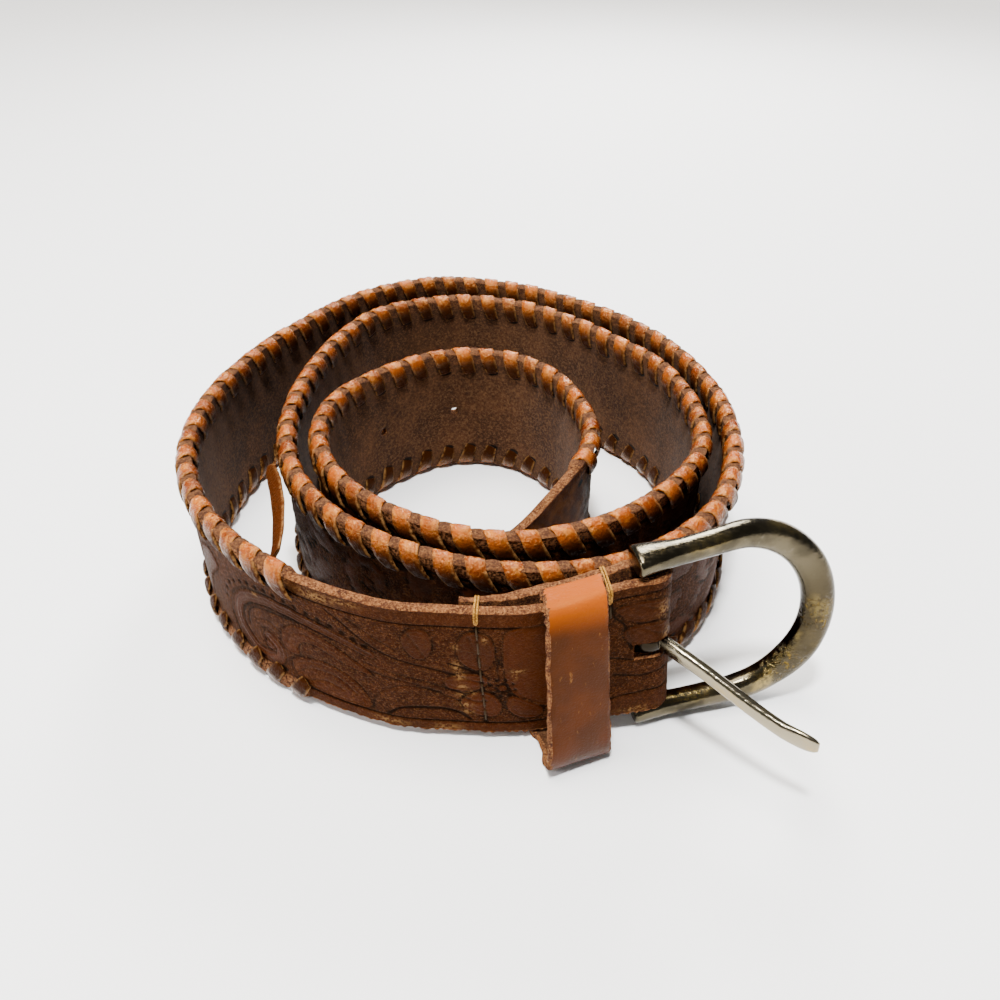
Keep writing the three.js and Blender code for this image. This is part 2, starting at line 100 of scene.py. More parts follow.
LACED_THICK = STRAP_THICK + 2 * (GAP + LACE_THICK)
TURN_PITCH = LACED_THICK + TURN_GAP
STRAP_BOTTOM = max(LACE_CROWN, KEEPER_THICK + KEEPER_ROOM)
STRAP_TOP = STRAP_BOTTOM + STRAP_WIDTH
LOOP_RADIUS = BAR_DIAMETER / 2 + GAP + STRAP_THICK / 2
LAYER_OFFSET = STRAP_THICK + KEEPER_THICK + 2 * KEEPER_ROOM
LEAN_ROOM = BAR_LEAN_BACK * STRAP_WIDTH / 2
FOLD_STACK = LACED_THICK / 2 + FOLD_GAP + LEAN_ROOM + LAYER_OFFSET + STRAP_THICK / 2
LOOP_STACK = LACED_THICK / 2 + FOLD_GAP + LEAN_ROOM + 2 * LOOP_RADIUS + STRAP_THICK / 2
ARM_HEIGHT = STRAP_WIDTH / 2 + ARM_GAP + FRAME_WIRE / 2
BAR_MIDDLE = FRAME_WIRE / 2 + ARM_HEIGHT + FRAME_END_REACH * BAR_LEAN_ALONG
LIFT = BAR_MIDDLE - STRAP_WIDTH / 2 - STRAP_BOTTOM

# The laced turns: bearing clockwise from +X, innermost radius as a share of INNER_RADIUS, then room to the
# middle turn and room to the outer turn as shares of TURN_SLACK
TURNS = [
    (120, 1.05, 0.06, 0.39), (140, 0.96, 0.04, 0.48), (160, 0.87, 0.04, 0.52),
    (180, 0.76, 0.13, 0.47), (200, 0.64, 0.33, 0.37), (220, 0.57, 0.56, 0.27),
    (240, 0.55, 0.81, 0.21), (260, 0.54, 0.88, 0.25), (280, 0.54, 0.83, 0.17),
    (300, 0.55, 0.71, 0.14), (320, 0.56, 0.64, 0.15), (340, 0.59, 0.68, 0.06),
    (360, 0.63, 0.70, 0.03), (380, 0.73, 0.65, 0.03), (400, 0.84, 0.48, 0.15),
    (420, 0.95, 0.30, 0.17), (440, 1.07, 0.08, 0.09), (460, 1.00, 0.01, 0.07),
]
# The bare front: bearing, what lies between it and the outer turn, room
FRONT = [
    (61.8, LOOP_STACK, 0.00), (73, FOLD_STACK, 0.00), (82, FOLD_STACK, 0.03),
    (91, FOLD_STACK, 0.08), (101, FOLD_STACK, 0.17),
]
# Half the tip's width by the share of TIP_LENGTH from its end
TIP = [(0, 0.08), (0.12, 0.22), (0.3, 0.42), (0.5, 0.62), (0.7, 0.82), (0.85, 0.94), (1, 1)]
# The folded layer: share of FOLD_LENGTH from the bar, and how far it has opened
FOLD = [(0, 2), (0.12, 1.4), (0.22, 1), (0.4, 1), (0.62, 1), (0.74, 0.5), (0.88, 0.05), (1, 0)]
# The keeper's loose front: room and height, from the lower edge up
KEEPER_FRONT = [
    (0.76, 0), (0.96, 0.04), (1, 0.13), (0.74, 0.38), (0.44, 0.7), (0.24, 0.93), (0.12, 0.985),
]
FRAME_BOW = [(-0.09, -0.053), (0.12, -0.015), (0.32, 0.001), (0.55, 0.023), (0.8, 0.025), (1, 0)]
# The prong: share of its length, bow, width and thickness
PRONG = [
    (0.08, 0.00, 1.00, 1.00), (0.22, 0.92, 0.92, 1.00), (0.38, 1.00, 0.88, 1.00),
    (0.62, 1.02, 0.90, 0.98), (0.82, 0.90, 0.98, 0.86), (0.90, 0.45, 1.08, 0.70),
    (1.00, 0.00, 0.96, 0.52),
]
# The lace's loose end: shares along the front and inwards, drop below the upper edge, width
LACE_TAIL = [
    (0.00, 0.00, 0.05, 0.90), (0.15, 0.13, 0.06, 1.00), (0.40, 0.30, 0.08, 1.05),
    (0.70, 0.46, 0.12, 1.00), (0.93, 0.56, 0.16, 0.85), (1.00, 0.58, 0.17, 0.45),
]


def smooth(x):
    x = np.clip(x, 0.0, 1.0)
    return x * x * (3 - 2 * x)


def between(rows, at, column=1):
    rows = sorted(rows)
    return np.interp(at, [row[0] for row in rows], [row[column] for row in rows])


# The strap's middle line in plan, from the buckle bar inwards to the tip
def coil_nodes():
    inner = [row[1] * INNER_RADIUS for row in TURNS]
    middle = [r + TURN_PITCH + row[2] * TURN_SLACK for r, row in zip(inner, TURNS)]
    outer = [r + TURN_PITCH + row[3] * TURN_SLACK for r, row in zip(middle, TURNS)]
    bearings = [row[0] for row in TURNS]
    beyond = bearings + [bearings[0] + 360, bearings[1] + 360]
    radii = outer + middle[:2]
    rows = [
        (bearing, np.interp(bearing + 360, beyond, radii) + stack + room * TURN_SLACK)
        for bearing, stack, room in FRONT
    ]
    for turn in (outer, middle, inner):
        rows += list(zip(bearings, turn))
    return np.array([
        (radius * math.cos(math.radians(b)), -radius * math.sin(math.radians(b)))
        for b, radius in rows
    ])


# A centripetal Catmull-Rom curve through the nodes, as close points with their running length
def smooth_line(nodes, steps=40):
    ends = np.vstack([2 * nodes[0] - nodes[1], nodes, 2 * nodes[-1] - nodes[-2]])
    points = []
    slopes = []
    for i in range(1, len(ends) - 2):
        p = ends[i - 1:i + 3]
        d = [math.sqrt(np.linalg.norm(p[k + 1] - p[k])) for k in range(3)]
        out = ((p[1] - p[0]) / d[0] - (p[2] - p[0]) / (d[0] + d[1]) + (p[2] - p[1]) / d[1]) * d[1]
        back = ((p[2] - p[1]) / d[1] - (p[3] - p[1]) / (d[1] + d[2]) + (p[3] - p[2]) / d[2]) * d[1]
        c2 = 3 * (p[2] - p[1]) - 2 * out - back
        c3 = 2 * (p[1] - p[2]) + out + back
        last = steps + 1 if i == len(ends) - 3 else steps
        for t in (k / steps for k in range(last)):
            points.append(p[1] + out * t + c2 * t * t + c3 * t ** 3)
            slopes.append(out + 2 * c2 * t + 3 * c3 * t * t)
    points = np.array(points)
    slopes = np.array(slopes)
    slopes /= np.linalg.norm(slopes, axis=1)[:, None]
    length = np.concatenate([[0], np.cumsum(np.linalg.norm(np.diff(points, axis=0), axis=1))])
    return points, slopes, length


COIL_STEPS = 40
nodes = coil_nodes()
line_points, line_slopes, line_length_at = smooth_line(nodes, COIL_STEPS)
LINE_LENGTH = line_length_at[-1]
LACED_FROM = line_length_at[len(FRONT) * COIL_STEPS] - LACE_LEAD
LACED_TO = LINE_LENGTH - TIP_LENGTH
STITCHES = round((LACED_TO - LACED_FROM) / LACE_PITCH)
STITCH_PITCH = (LACED_TO - LACED_FROM) / STITCHES


# Points of the middle line with the directions along it and outwards, for an array of distances
def line_at(distance):
    distance = np.clip(np.atleast_1d(np.asarray(distance, float)), 0, LINE_LENGTH)
    place = [np.interp(distance, line_length_at, line_points[:, k]) for k in (0, 1)]
    slope = [np.interp(distance, line_length_at, line_slopes[:, k]) for k in (0, 1)]
    point = np.stack([*place, np.zeros_like(distance)], 1)
    along = np.stack([*slope, np.zeros_like(distance)], 1)
    along /= np.linalg.norm(along, axis=1)[:, None]
    outward = np.stack([-along[:, 1], along[:, 0], np.zeros_like(distance)], 1)
    return point, along, outward


UP = np.array([0.0, 0.0, 1.0])
start_point, start_along, start_outward = (rows[0] for rows in line_at(0))
to_buckle = -start_along
bar_foot = start_point - start_outward * LOOP_RADIUS
flat_bar_middle = bar_foot + UP * (STRAP_BOTTOM + STRAP_WIDTH / 2)
bar_middle = bar_foot + UP * BAR_MIDDLE
bar_axis = UP - start_outward * BAR_LEAN_BACK + start_along * BAR_LEAN_ALONG
bar_axis /= np.linalg.norm(bar_axis)
bar_turn = np.array(Vector(UP).rotation_difference(Vector(bar_axis)).to_matrix())

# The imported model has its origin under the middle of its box: the joint says how far it moved.
hinge = next(j for j in frame["record"]["behaviour"]["joints"] if j["name"] == "buckle_hinge")
SHIFT = np.array(hinge["pos_m"]) / MM - bar_middle


# Lifts and leans the front stretch with the buckle bar
def settle(points, lift_share=1.0):
    points = np.asarray(points, float)
    from_bar = (points - flat_bar_middle) @ start_along
    share = smooth(1 - (from_bar - LOOP_RADIUS) / (LIFT_RUN - LOOP_RADIUS))
    moved = (points - flat_bar_middle) @ bar_turn.T + flat_bar_middle + UP * LIFT - points
    moved *= share[..., None]
    moved[..., 2] *= lift_share
    return points + moved


buckle_axes = np.stack([to_buckle, np.cross(UP, to_buckle), UP]) @ bar_turn.T


# A point by its distance from the bar, towards the coil, and up the bar
def in_buckle(along, inward, height):
    parts = np.stack(np.broadcast_arrays(along, inward, height), -1).astype(float)
    return parts @ buckle_axes + bar_middle


def in_row(points):
    return (np.asarray(points) + SHIFT) * MM


# Camera: where it stood beside the coil's centre, how far it looked down, and its tilt
CAMERA_PLACE = np.array([9.0, -207.0, 164.2])
CAMERA_DOWN = 37.7
CAMERA_ROLL = 0.45
CAMERA_LENS = 30.96

camera = bpy.data.objects.new("camera", bpy.data.cameras.new("camera"))
bpy.context.scene.collection.objects.link(camera)
camera.location = Vector(in_row(CAMERA_PLACE))
camera.rotation_mode = "QUATERNION"
look = Matrix.Rotation(math.radians(90 - CAMERA_DOWN), 3, "X")
roll = Matrix.Rotation(math.radians(CAMERA_ROLL), 3, "Z")
camera.rotation_quaternion = (look @ roll).to_quaternion()
camera.data.lens = CAMERA_LENS
camera.data.sensor_width = 36
camera.data.clip_start = 0.005
bpy.context.scene.camera = camera


def add_object(name, mesh):
    obj = bpy.data.objects.new(name, mesh)
    bpy.context.scene.collection.objects.link(obj)
    return obj


# A closed solid through rows of matching outlines. rings is stations x corners x 3, in the belt's
# millimetres.
def ring_mesh(name, rings, materials, slots=None, values=None, looped=False, sharp=40):
    stations, corners = rings.shape[:2]
    index = np.arange(stations * corners).reshape(stations, corners)
    a = index if looped else index[:-1]
    c = np.roll(index, -1, 0) if looped else index[1:]
    quads = np.stack([a, np.roll(a, -1, 1), np.roll(c, -1, 1), c], -1)
    slots = np.zeros(corners, int) if slots is None else np.asarray(slots)
    quad_slots = np.broadcast_to(slots, quads.shape[:2])
    faces = [list(map(int, q)) for q in quads.reshape(-1, 4)]
    face_slots = list(quad_slots.reshape(-1))
    if not looped:
        faces.append([int(i) for i in index[0][::-1]])
        faces.append([int(i) for i in index[-1]])
        face_slots += [len(materials) - 1] * 2
    mesh = bpy.data.meshes.new(name)
    mesh.from_pydata(in_row(rings.reshape(-1, 3)).tolist(), [], faces)
    for material in materials:
        mesh.materials.append(material)
    mesh.polygons.foreach_set("material_index", [int(s) for s in face_slots])
    for key, value in (values or {}).items():
        layer = mesh.attributes.new(key, "FLOAT", "POINT")
        flat = np.broadcast_to(value, rings.shape[:2]).reshape(-1).astype(np.float32)
        layer.data.foreach_set("value", np.ascontiguousarray(flat))
    mesh.update()
    corner = rings.reshape(-1, 3)
    tri = np.array([f[:3] for f in faces[:len(faces) - (0 if looped else 2)]])
    quad_last = np.array([f[3] for f in faces[:len(faces) - (0 if looped else 2)]])
    centre = corner.mean(0)
    p = corner - centre
    volume = np.einsum("ij,ij->i", p[tri[:, 0]], np.cross(p[tri[:, 1]], p[tri[:, 2]])).sum()
    volume += np.einsum("ij,ij->i", p[tri[:, 0]], np.cross(p[tri[:, 2]], p[quad_last])).sum()
    if volume < 0:
        mesh.flip_normals()
    mesh.shade_smooth()
    mesh.set_sharp_from_angle(angle=math.radians(sharp))
    return add_object(name, mesh)


# One node with its settings, and its inputs as numbers or as links from other nodes' sockets
def add(tree, kind, settings=(), inputs=()):
    made = tree.nodes.new(kind)
    for key, value in dict(settings).items():
        setattr(made, key, value)
    for key, value in dict(inputs).items():
        if isinstance(value, bpy.types.NodeSocket):
            tree.links.new(value, made.inputs[key])
        else:
            made.inputs[key].default_value = value
    return made


def linear(code):
    parts = [int(code[i:i + 2], 16) / 255 for i in (1, 3, 5)]
    return (*[c / 12.92 if c <= 0.04045 else ((c + 0.055) / 1.055) ** 2.4 for c in parts], 1.0)


def new_material(name):
    material = bpy.data.materials.new(name)
    material.use_nodes = True
    tree = material.node_tree
    shader = next(n for n in tree.nodes if n.type == "BSDF_PRINCIPLED")
    place = add(tree, "ShaderNodeTexCoord").outputs["Object"]
    return material, tree, shader, place


def attribute(tree, name):
    return add(tree, "ShaderNodeAttribute", {"attribute_name": name}).outputs["Fac"]


# A noise at a grain size in millimetres
def grain(tree, place, size, detail=3, sharp=0.5, swirl=0.0):
    settings = {"noise_dimensions": "3D"}
    inputs = {
        "Vector": place, "Scale": 1 / (size * MM), "Detail": detail, "Roughness": sharp, "Distortion": swirl,
    }
    return add(tree, "ShaderNodeTexNoise", settings, inputs).outputs["Fac"]


def ramp(tree, value, low, high, to_low=0.0, to_high=1.0):
    inputs = {"Value": value, "From Min": low, "From Max": high, "To Min": to_low, "To Max": to_high}
    return add(tree, "ShaderNodeMapRange", {"interpolation_type": "SMOOTHSTEP"}, inputs).outputs["Result"]


def blend(tree, share, first, second, mode="MIX"):
    settings = {"data_type": "RGBA", "blend_type": mode}
    return add(tree, "ShaderNodeMix", settings, {0: share, 6: first, 7: second}).outputs[2]


def times(tree, a, b, operation="MULTIPLY"):
    return add(tree, "ShaderNodeMath", {"operation": operation}, {0: a, 1: b}).outputs[0]


def bumped(tree, shader, height, depth):
    bump = add(tree, "ShaderNodeBump", {}, {"Height": height, "Distance": depth * MM, "Strength": 1.0})
    tree.links.new(bump.outputs["Normal"], shader.inputs["Normal"])
    return bump


# Painted shadow of the lacing slots below the edges, as dark ovals where each slot's hole lies in shade: the
# share of the stitch pitch at which a foot goes in, and its height
def painted_slot_shadow(tree, share, depth):
    phase = add(tree, "ShaderNodeMath", {"operation": "FRACT"}, {0: attribute(tree, "stitch")}).outputs[0]
    beside = times(tree, phase, share, "SUBTRACT")
    wide = times(tree, times(tree, beside, beside), (STITCH_PITCH / 1.7) ** 2)
    from_edge = times(tree, attribute(tree, "edge"), depth, "SUBTRACT")
    high = times(tree, times(tree, from_edge, from_edge), (1 / 0.85) ** 2)
    return ramp(tree, times(tree, wide, high, "ADD"), 1.3, 0.55)


# Oiled brown leather gives its highlights a warm tone
WARM = (1.0, 0.52, 0.18, 1.0)


# Vegetable-tanned cowhide, tooled, dyed and worn: raised parts rub shiny and reddish, the ground stays dark
def tooled_cowhide():
    material, tree, shader, place = new_material("tooled_vegetable_tanned_cowhide")
    relief = attribute(tree, "relief")
    polish = attribute(tree, "polish")
    broad = grain(tree, place, 22, 4)
    mottle = grain(tree, place, 3.5, 4)
    fine = grain(tree, place, 0.55, 2)
    pits = add(tree, "ShaderNodeTexVoronoi", {}, {"Vector": place, "Scale": 1 / (0.75 * MM)}).outputs[0]
    ground = blend(tree, ramp(tree, mottle, 0.4, 0.66), linear("#1f0d04"), linear("#301607"))
    raised = blend(tree, ramp(tree, broad, 0.4, 0.62), linear("#2d1102"), linear("#391602"))
    raised = blend(tree, ramp(tree, mottle, 0.5, 0.75, 0, 0.45), raised, linear("#1d0b02"))
    colour = blend(tree, ramp(tree, relief, -0.20, 0.04), ground, raised)
    streaks = grain(tree, place, 0.72, 5, 0.72, 1.2)
    bare = ramp(tree, polish, 1.0, 0.0, 0.35, 1.0)
    pale = times(tree, ramp(tree, streaks, 0.50, 0.62, 0.0, 0.6), bare)
    colour = blend(tree, pale, colour, linear("#573720"))
    dark = times(tree, ramp(tree, streaks, 0.46, 0.37, 0.0, 0.65), bare)
    colour = blend(tree, dark, colour, linear("#180a03"))
    dust = times(tree, ramp(tree, pits, 0.04, 0.28, 0.35, 0.0), ramp(tree, polish, 0.7, 0.0, 0.1, 1.0))
    colour = blend(tree, dust, colour, linear("#62401f"))
    flaked = times(tree, attribute(tree, "scuff"), ramp(tree, grain(tree, place, 0.7, 4, 0.65), 0.46, 0.54))
    colour = blend(tree, flaked, colour, linear("#72522f"))
    colour = blend(tree, ramp(tree, relief, -0.14, -0.28, 0, 0.9), colour, linear("#0b0401"))
    smooth_end = blend(tree, ramp(tree, mottle, 0.4, 0.65), linear("#4a2509"), linear("#6b3c16"))
    colour = blend(tree, times(tree, attribute(tree, "plain"), 0.85), colour, smooth_end)
    rough_edge = times(tree, ramp(tree, attribute(tree, "edge"), 4.8, 3.6), attribute(tree, "laced"))
    fibres = blend(tree, ramp(tree, fine, 0.4, 0.6), linear("#331a0b"), linear("#85593a"))
    colour = blend(tree, rough_edge, colour, fibres)
    # Painted shadow of the lacing slots on the grain side
    slots = times(tree, painted_slot_shadow(tree, 0.84, 6.0), attribute(tree, "laced"))
    colour = blend(tree, slots, colour, linear("#0d0603"))
    tree.links.new(colour, shader.inputs["Base Color"])
    rub = ramp(tree, polish, 0.0, 1.0, 0.7, 0.5)
    tree.links.new(times(tree, rub, ramp(tree, fine, 0.3, 0.7, 0.9, 1.15)), shader.inputs["Roughness"])
    dots = times(tree, ramp(tree, pits, 0.0, 0.5, 0.0, 1.0), ramp(tree, polish, 0.6, 0.0))
    height = times(tree, dots, times(tree, fine, 0.45), "ADD")
    height = times(tree, height, times(tree, streaks, 0.9), "ADD")
    bumped(tree, shader, height, 0.2)
    shader.inputs["Specular IOR Level"].default_value = 0.04
    shader.inputs["Specular Tint"].default_value = WARM
    return material


# The strap's flesh side: short dark nap
def cowhide_flesh_side():
    material, tree, shader, place = new_material("cowhide_flesh_side_nap")
    broad = grain(tree, place, 14, 4)
    nap = grain(tree, place, 0.75, 4, 0.75, 0.6)
    fibre = grain(tree, place, 1.8, 4, 0.65)
    colour = blend(tree, ramp(tree, broad, 0.35, 0.65), linear("#301c0f"), linear("#442a18"))
    colour = blend(tree, ramp(tree, nap, 0.48, 0.6, 0, 0.6), colour, linear("#604229"))
    colour = blend(tree, ramp(tree, nap, 0.46, 0.36, 0, 0.6), colour, linear("#1f1108"))
    colour = blend(tree, ramp(tree, fibre, 0.5, 0.7, 0, 0.3), colour, linear("#22130a"))
    # Painted shadow of the lacing slots on the flesh side
    slots = times(tree, painted_slot_shadow(tree, 0.77, 6.1), attribute(tree, "laced"))
    colour = blend(tree, slots, colour, linear("#0d0603"))
    tree.links.new(colour, shader.inputs["Base Color"])
    bumped(tree, shader, times(tree, nap, times(tree, fibre, 0.8), "ADD"), 0.22)
    shader.inputs["Roughness"].default_value = 0.92
    shader.inputs["Sheen Weight"].default_value = 0.05
    shader.inputs["Specular IOR Level"].default_value = 0.04
    return material


# Raw cut edges: pale, fibrous and dusty, with painted shade in the gaps between the stitches of the laced
# stretch
def cut_edge():
    material, tree, shader, place = new_material("raw_cut_cowhide_edge")
    fibre = grain(tree, place, 0.5, 4, 0.75)
    clump = grain(tree, place, 1.8, 4, 0.6)
    colour = blend(tree, ramp(tree, clump, 0.38, 0.64), linear("#43220d"), linear("#6d4222"))
    colour = blend(tree, ramp(tree, fibre, 0.5, 0.62, 0, 0.7), colour, linear("#94663c"))
    colour = blend(tree, ramp(tree, fibre, 0.47, 0.37, 0, 0.85), colour, linear("#241007"))
    # Painted shade: the edge is darkened in the laced stretch, in the gaps between the stitches
    colour = blend(tree, times(tree, attribute(tree, "laced"), 0.45), colour, linear("#2f190c"))
    tree.links.new(colour, shader.inputs["Base Color"])
    bumped(tree, shader, times(tree, fibre, clump, "ADD"), 0.4)
    shader.inputs["Roughness"].default_value = 0.95
    shader.inputs["Specular IOR Level"].default_value = 0.2
    return material


# Calf lace: oiled orange tan, shiny on the crown, with painted shade darkening it where it goes into its
# slots
def calf_lace():
    material, tree, shader, place = new_material("oiled_calf_lace")
    reach = attribute(tree, "reach")
    tone = attribute(tree, "tone")
    flecks = grain(tree, place, 1.1, 4, 0.6)
    fine = grain(tree, place, 0.35, 3)
    body = blend(tree, tone, linear("#642402"), linear("#984607"))
    # Painted shade: the lower row's stitches, which face down, are darkened
    body = blend(tree, attribute(tree, "low"), body, linear("#3f1705"))
    body = blend(tree, ramp(tree, flecks, 0.48, 0.68, 0, 0.75), body, linear("#4e2205"))
    far = add(tree, "ShaderNodeMath", {"operation": "ABSOLUTE"}, {0: reach}).outputs[0]
    # Golden patches on the crown: partly rubbed wear, partly a painted highlight where the light from above
    # falls
    rubbed = ramp(tree, grain(tree, place, 2.4, 4, 0.65), 0.49, 0.6, 0.0, 0.75)
    crown_wear_and_glint = ramp(tree, far, 0.5, 0.2)
    body = blend(tree, times(tree, rubbed, crown_wear_and_glint), body, linear("#a6621f"))
    # Painted shade: each stitch darkens almost to black towards its feet, where it dips beside the strap
    # into its slots
    body = blend(tree, ramp(tree, far, 0.08, 0.62, 0, 0.95), body, linear("#220d02"))
    worn = times(tree, ramp(tree, attribute(tree, "side"), 0.6, 1.0), ramp(tree, flecks, 0.38, 0.58))
    body = blend(tree, times(tree, worn, 0.4), body, linear("#a67a48"))
    tree.links.new(body, shader.inputs["Base Color"])
    dull = times(tree, ramp(tree, flecks, 0.4, 0.65, 0.13, 0.36), ramp(tree, far, 0.3, 0.7, 0, 0.3), "ADD")
    tree.links.new(dull, shader.inputs["Roughness"])
    tree.links.new(ramp(tree, far, 0.35, 0.65, 0.7, 0.05), shader.inputs["Specular IOR Level"])
    shader.inputs["Specular Tint"].default_value = WARM
    bumped(tree, shader, times(tree, times(tree, fine, 0.6), times(tree, flecks, 2.4), "ADD"), 0.22)
    return material


# Keeper: plain tan latigo, smooth, with a few scratches and pale cut edges, and a painted highlight on its
# upper bend
def keeper_latigo():
    material, tree, shader, place = new_material("tan_latigo_leather")
    broad = grain(tree, place, 9, 4)
    fine = grain(tree, place, 0.4, 3)
    stretch = add(tree, "ShaderNodeMapping", {}, {
        "Vector": place, "Scale": (1.0, 1.0, 0.22), "Rotation": (0.5, 0.35, 0.0),
    }).outputs[0]
    scratch = grain(tree, stretch, 1.1, 5, 0.7)
    colour = blend(tree, ramp(tree, broad, 0.35, 0.65), linear("#331202"), linear("#411902"))
    # Painted highlight: the upper bend is painted paler orange where the light from above falls on it
    colour = blend(tree, attribute(tree, "painted_top_highlight"), colour, linear("#9a480a"))
    colour = blend(tree, ramp(tree, scratch, 0.63, 0.71, 0, 0.5), colour, linear("#8a5a28"))
    colour = blend(tree, ramp(tree, scratch, 0.36, 0.28, 0, 0.45), colour, linear("#3f1c04"))
    tree.links.new(colour, shader.inputs["Base Color"])
    tree.links.new(ramp(tree, broad, 0.3, 0.7, 0.32, 0.46), shader.inputs["Roughness"])
    bumped(tree, shader, times(tree, fine, times(tree, scratch, 0.8), "ADD"), 0.1)
    shader.inputs["Specular IOR Level"].default_value = 0.14
    shader.inputs["Specular Tint"].default_value = WARM
    return material


# Waxed thread: golden, twisted from fine plies
def waxed_thread():
    material, tree, shader, place = new_material("golden_waxed_thread")
    plies = grain(tree, place, 0.35, 2)
    colour = blend(tree, ramp(tree, plies, 0.35, 0.65), linear("#6e4510"), linear("#a87a34"))
    # The stitches sunk into the face are drawn darker than the strands over the edge
    colour = blend(tree, attribute(tree, "darkening"), colour, linear("#33240f"))
    tree.links.new(colour, shader.inputs["Base Color"])
    bumped(tree, shader, plies, 0.12)
    shader.inputs["Roughness"].default_value = 0.55
    shader.inputs["Specular IOR Level"].default_value = 0.1
    return material


# Cast nickel silver: warm grey, hand-worn to a brassy tone on its high spots
def nickel_silver():
    material, tree, shader, place = new_material("cast_nickel_silver")
    broad = grain(tree, place, 7, 4)
    cloud = grain(tree, place, 1.6, 4, 0.6)
    stretch = add(tree, "ShaderNodeMapping", {}, {"Vector": place, "Scale": (0.25, 1.0, 1.0)}).outputs[0]
    scratch = grain(tree, stretch, 0.5, 4, 0.7)
    colour = blend(tree, ramp(tree, broad, 0.4, 0.6), linear("#3d382c"), linear("#524b3b"))
    # Painted light: the prong is given a paler metal colour to stand for its brighter highlights
    colour = blend(tree, attribute(tree, "painted_prong_light"), colour, linear("#877e69"))
    brassy = times(tree, attribute(tree, "rubbed"), ramp(tree, cloud, 0.35, 0.6))
    colour = blend(tree, times(tree, brassy, 0.7), colour, linear("#a08a50"))
    colour = blend(tree, ramp(tree, cloud, 0.6, 0.75, 0, 0.5), colour, linear("#6b6357"))
    # Painted reflection: the round end is darkened where it would reflect darker surroundings
    colour = blend(tree, times(tree, attribute(tree, "painted_dark_reflection"), 0.7), colour, linear("#2b2417"))
    pitted = times(tree, attribute(tree, "pitted"), ramp(tree, grain(tree, place, 0.9, 4, 0.7), 0.5, 0.6))
    colour = blend(tree, pitted, colour, linear("#66521e"))
    # Tarnish and painted shade: the eye and the prong's root, inside the leather's slot, are darkened almost
    # to black
    colour = blend(tree, times(tree, attribute(tree, "tarnish_and_painted_shade"), 0.9), colour, linear("#17120c"))
    tree.links.new(colour, shader.inputs["Base Color"])
    tree.links.new(ramp(tree, scratch, 0.3, 0.75, 0.10, 0.26), shader.inputs["Roughness"])
    height = times(tree, times(tree, scratch, 0.4), cloud, "ADD")
    bumped(tree, shader, times(tree, height, times(tree, pitted, -3.0), "ADD"), 0.09)
    shader.inputs["Metallic"].default_value = 1.0
    return material


GRAIN_SIDE = tooled_cowhide()
FLESH_SIDE = cowhide_flesh_side()
RAW_EDGE = cut_edge()
LACE = calf_lace()
LATIGO = keeper_latigo()
THREAD = waxed_thread()
METAL = nickel_silver()


# Smoothed random numbers, the same on every run
def rough(shape, seed, reach=1):
    noise = np.random.default_rng(seed).normal(size=shape)
    for axis in range(len(shape)):
        for _ in range(reach):
            noise = (np.roll(noise, 1, axis) + noise * 2 + np.roll(noise, -1, axis)) / 4
    return noise / (noise.std() + 1e-9)


